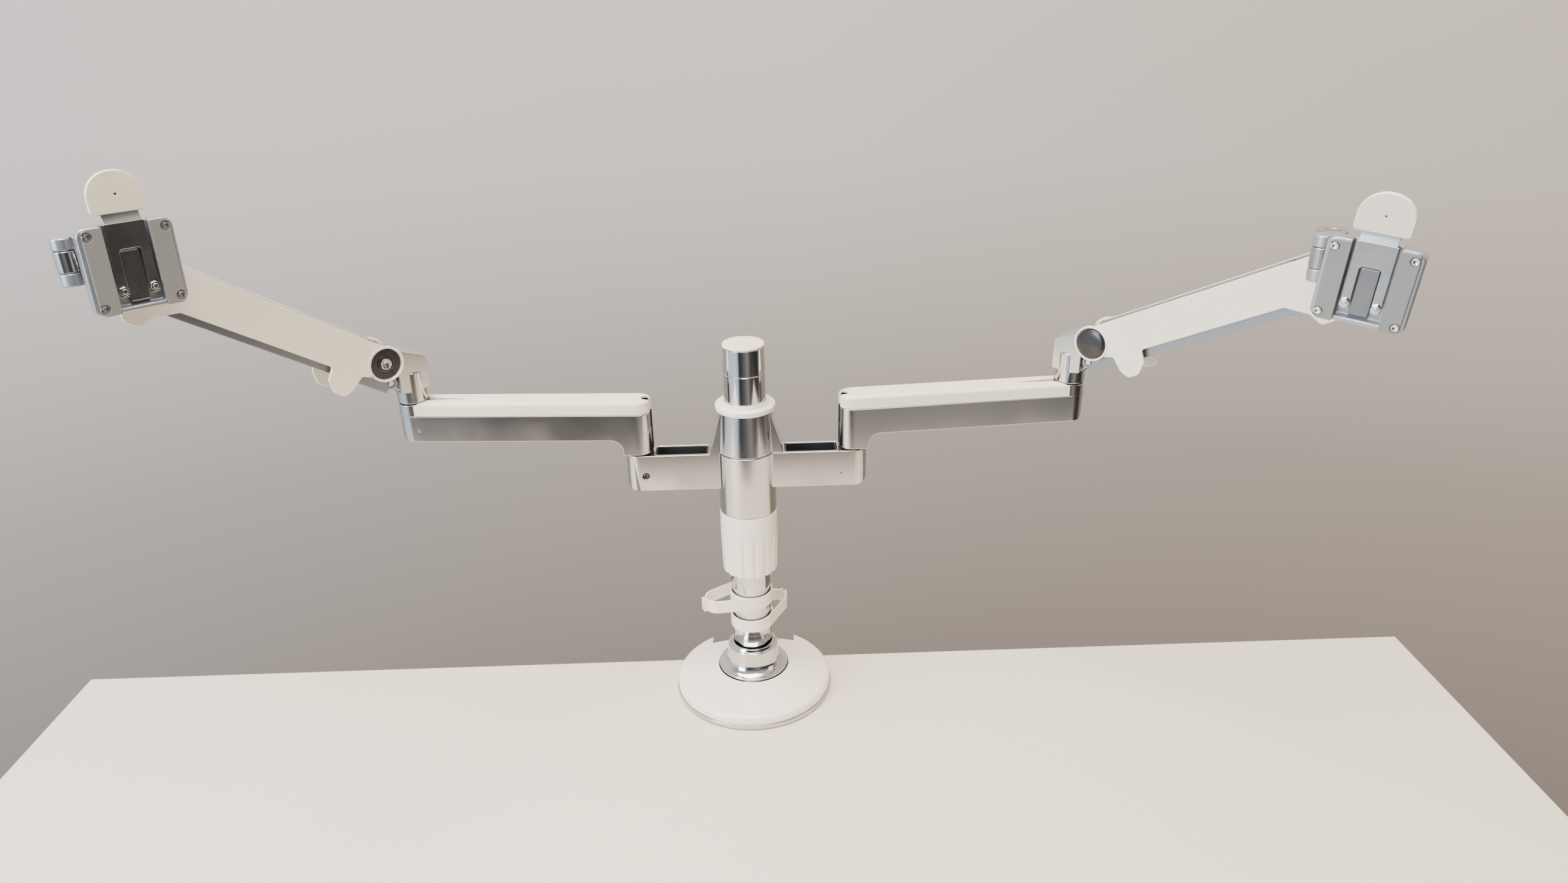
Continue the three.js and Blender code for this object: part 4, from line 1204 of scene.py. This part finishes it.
def addLowerLink(side, at):
    reach, outer = arm["reach"], lower["outer"]
    inner, deep = outer - lower["wall"], lower["deep"]

    def wall(y0, y1):
        return [
            block(0, reach, y0, y1, -deep, 0.4),
            rod(lower["eye"], y0, y1, "y", around=48),
            rod(lower["eye"], y0, y1, "y", (reach, 0, 0), 48),
        ]

    first, *rest = wall(inner, outer)
    sole = block(9, reach - 9, -outer, outer, -deep, -deep + 2)
    solid = join(first, *rest, *wall(-outer, -inner), sole)
    carve(
        solid,
        block(-7, 0, -20, 20, -deep - 1, -lower["eye"]),
        block(reach, reach + 7, -20, 20, -deep - 1, -lower["eye"]),
        rod(lower["pin"] + gap, -20, 20, "y", around=32),
        rod(lower["pin"] + 2 * gap, -20, 20, "y", (reach, 0, 0), 32),
    )
    nodes = [f"arm_lower_link_{side}"]
    piece(f"lowerLink.{side}", solid, at["lower"], f"lower_link_{side}", armGrey, nodes, 0.6, 3)


swing = {"spindle": 8, "high": 22, "pin": 5, "reach": 59, "thick": 7.2, "half": 6.2, "boss": 11}
knuckle = {"radius": 7.1, "half": 7.4, "top": 16.4, "low": -17, "pin": 3}


def addYoke(side, at):
    x, z = elbow["pinX"], elbow["pinZ"]
    web = [(-7, 0), (x - 5, z), (x + 5, z), (8, 0)]
    pin = (x, 0, z)
    solid = join(
        rod(11, -elbow["half"], elbow["half"], "y", around=64),
        rod(5.1, -15.1, 15.1, "y", around=48),
        prism(web, -elbow["eyeHalf"], elbow["eyeHalf"], "xz"),
        rod(lower["eye"], -elbow["eyeHalf"], elbow["eyeHalf"], "y", pin, 48),
        rod(lower["pin"], -lower["outer"], lower["outer"], "y", pin, 32),
        rod(swing["spindle"], 0, swing["high"], around=56),
        rod(swing["pin"], swing["high"] - 1, swing["high"] + swing["thick"] + 0.2, around=48),
    )
    piece(f"armEndYoke.{side}", solid, at["yoke"], f"yoke_{side}", steel, [f"end_yoke_{side}"], 0.5, 3)


def addSwing(side, at):
    low, level = swing["high"] + 0.4, swing["high"]
    high, far, half = low + swing["thick"], (swing["reach"], 0, 0), knuckle["half"]
    solid = join(
        rod(swing["boss"], low, high, around=72),
        prism(pillOutline(swing["reach"], swing["half"]), low, high),
        rod(knuckle["radius"], level - half, level + half + 0.2, at=far, around=64),
    )
    carve(
        solid,
        rod(swing["pin"] + gap, low - 1, high + 1, around=48),
        rod(knuckle["pin"] + gap, 0, 40, at=far, around=36),
    )
    nodes = [f"swing_link_{side}"]
    piece(f"swingLink.{side}", solid, at["swing"], f"swing_{side}", polished, nodes, 0.8, 4)


bracket = {
    "tiltX": 34.6,
    "tiltY": -1.2,
    "tiltZ": -7.85,
    "half": 11,
    "ear": 3,
    "plateFront": -5.7,
    "plateBack": -3.2,
}


def addBracket(side, at):
    tx, ty, tz = bracket["tiltX"], bracket["tiltY"], bracket["tiltZ"]
    plateFront, plateBack = bracket["plateFront"], bracket["plateBack"]
    low, high, radius = knuckle["low"], knuckle["top"], knuckle["radius"]
    split = knuckle["half"] + gap
    inside = bracket["half"] + gap
    outside = inside + bracket["ear"]
    back, half = ty + 7.8, 6

    def barrel(z0, z1):
        shape = rounded([(0, z0), (radius, z0, 1.1), (radius, z1, 1.1), (0, z1)], 5)
        return [turned(shape, around=64), block(-radius + 4, 7.6, plateFront, 0, z0 + 0.4, z1 - 0.4)]

    def ear(x0, x1):
        low, high = tz - half, tz + half
        outline = rounded([(plateFront, low, 1), (back, low, 2), (back, high, 2), (plateFront, high, 1)])
        return prism(outline, tx + x0, tx + x1, "yz")

    first, *rest = barrel(low, -split)
    solid = join(
        first,
        *rest,
        *barrel(split + 0.2, high),
        rod(knuckle["pin"], low, high, around=40),
        block(7.5, 14, plateFront, plateBack, low, high),
        block(13.5, tx - inside, plateFront, plateBack, tz - 9, tz + 7),
        ear(-outside, -inside),
        ear(inside, outside),
        block(tx - outside, tx + outside, back - 2.5, back, tz - half, tz + half),
    )
    carve(solid, rod(3.3, tx - 20, tx + 20, "x", (0, ty, tz), 32))
    nodes = [f"hinge_bracket_{side}"]
    piece(f"hingeBracket.{side}", solid, at["bracket"], f"bracket_{side}", satin, nodes, 0.5, 3)


def addTilter(side, at):
    reach = bracket["half"]
    solid = join(
        rod(4.5, -reach, reach, "x", around=48),
        rod(3, -reach - 3, reach + 3, "x", around=40),
        rod(9, -8.7, -3, "y", around=64),
        rod(4, -11.7, 0, "y", around=48),
    )
    nodes = [f"tilt_block_{side}"]
    piece(f"tiltBlock.{side}", solid, at["tilt"], f"tilter_{side}", steel, nodes, 0.3, 2)


head = {
    "half": 30.7,
    "corner": 6.5,
    "front": 2.4,
    "back": 11,
    "strip": 2.1,
    "inner": 15,
    "width": 12.9,
    "recess": 8,
    "screws": 25,
    "plateHalf": 13.1,
    "plateFront": 3,
    "plateBack": 4.4,
    "tabHalf": 18,
    "tabLow": 37.3,
    "tabHigh": 66,
    "tabFront": 4.9,
    "tabThick": 3.6,
}


def addHead(side, at):
    half, corner = head["half"], head["corner"]
    place, body = at["head"], f"head_{side}"
    corners = [(-half, -half), (half, -half), (half, half), (-half, half)]
    shell = prism(rounded([(x, z, corner) for x, z in corners], 10), head["front"], head["back"], "xz")
    carve(
        shell,
        block(-head["inner"], head["inner"], head["front"] - 1, head["recess"], -27, half + 1),
        rod(4.3, 0, head["back"] + 1, "y", around=48),
    )
    piece(f"headHousing.{side}", shell, place, body, satin, [f"head_housing_{side}"], 1.3, 4)
    addTongue(side, place, body)
    facing = -1 if side == "left" else 1
    addStrip(side, "outer", facing, place, body)
    addStrip(side, "inner", -facing, place, body)


def addTongue(side, place, body):  # raised in the recess, sloping back to its top
    half, low, high, back = 6.2, -26.9, 12.5, 7.9
    outline = rounded([(-half, low), (half, low), (half, high, 3), (-half, high, 3)], 6)
    slope = [(4.6, -24), (5.4, 11), (back, 13), (back, -27)]
    tongue = common(prism(outline, 4.6, back, "xz"), prism(slope, -7, 7, "yz"))
    piece(f"headTongue.{side}", tongue, place, body, greyCasting, edge=0.5, steps=3)


headScrews = {  # radius, height and finish; the left ones sit lower and are duller
    "left": (2.7, 0.9, steel),
    "right": (2.9, 1.4, brightScrew),
}


def addStrip(side, name, facing, place, body):
    x0, x1, edgeZ = facing * head["inner"], facing * (head["inner"] + head["width"]), head["half"] - 0.4
    outline = rounded([(x0, -edgeZ, 0.9), (x1, -edgeZ, 4), (x1, edgeZ, 4), (x0, edgeZ, 0.9)], 8)
    strip = prism(outline, 0, head["strip"], "xz")
    radius, high, finish = headScrews[side]
    for level, end in (("Low", -1), ("Top", 1)):
        x, z = facing * head["screws"], end * head["screws"]
        carve(strip, rod(3.5, -1, 1.3, "y", (x, 0, z), 48))
        screw = socketScrew(radius, high, 1.5, 0.9)
        seat = place @ Matrix.Translation((x, 1.45, z))
        piece(f"headScrew{level}_{name}.{side}", screw, seat, body, finish, edge=0)
    nodes = [f"head_strip_{name}_{side}"]
    piece(f"headStrip_{name}.{side}", strip, place, body, greyStrip, nodes, 0.35, 3)


def addLatch(side, at):
    place, body = at["head"], f"latch_{side}"
    addSlidePlate(side, place, body)
    for name, x in (("A", -10), ("B", 10)):
        addPlateNut(f"plateNut{name}.{side}", x, place, body)
    addReleaseTab(side, place, body)


def addSlidePlate(side, place, body):  # a U round the tongue, bent back above the head to carry the tab
    front, back, half = head["plateFront"], head["plateBack"], head["plateHalf"]
    foot, top, slot = -20, 31, 6.9
    corners = [(-half, foot, 1.5), (-slot, foot, 0.6), (-slot, 13, 2.4), (slot, 13, 2.4)]
    corners += [(slot, foot, 0.6), (half, foot, 1.5), (half, top), (-half, top)]
    bend = [(front, 30.5), (back, 30.5), (7.2, 36.6), (7.2, 50), (6.2, 50), (6.2, 37)]
    plate = join(prism(rounded(corners, 6), front, back, "xz"), prism(bend, -12, 12, "yz"))
    piece(f"slidePlate.{side}", plate, place, body, steel, [f"slide_plate_{side}"], 0.3, 3)


def addPlateNut(name, x, place, body):
    front, level = head["plateFront"], -15.5
    nut = join(
        prism(hexagon(3.5, x, level, 0.1), 1.2, front, "xz"),
        rod(1.7, 0.6, front, "y", (x, 0, level), 32),
    )
    piece(name, nut, place, body, brightScrew, edge=0.25, steps=2)


def addReleaseTab(side, place, body):
    half, low, high, front = head["tabHalf"], head["tabLow"], head["tabHigh"], head["tabFront"]
    crown = half - 0.5
    outline = [(-half, low, 2.5), (half, low, 2.5), (half, high, crown), (-half, high, crown)]
    tab = prism(rounded(outline, 24), front, front + head["tabThick"], "xz")
    carve(
        tab,
        block(-12.3, 12.3, 5.9, 7.5, low - 1, 50.4),
        rod(0.75, front - 1, front + 1.2, "y", (0, 0, 50), 24),
    )
    piece(f"releaseTab.{side}", tab, place, body, ivory, [f"release_tab_{side}"], 0.8, 4)


linkParts = [addPins, addLink, addLinkCover, addElbow]
liftParts = [addBeam, addCovers, addLowerLink, addYoke]
headParts = [addSwing, addBracket, addTilter, addHead, addLatch]
for side in ("left", "right"):
    at = armFrames(side)
    for addPart in linkParts + liftParts + headParts:
        addPart(side, at)
    print("arm made:", side)

frame["nodes"]["collet_sleeve"].data.materials.clear()
frame["nodes"]["collet_sleeve"].data.materials.append(darkMetal["material"])
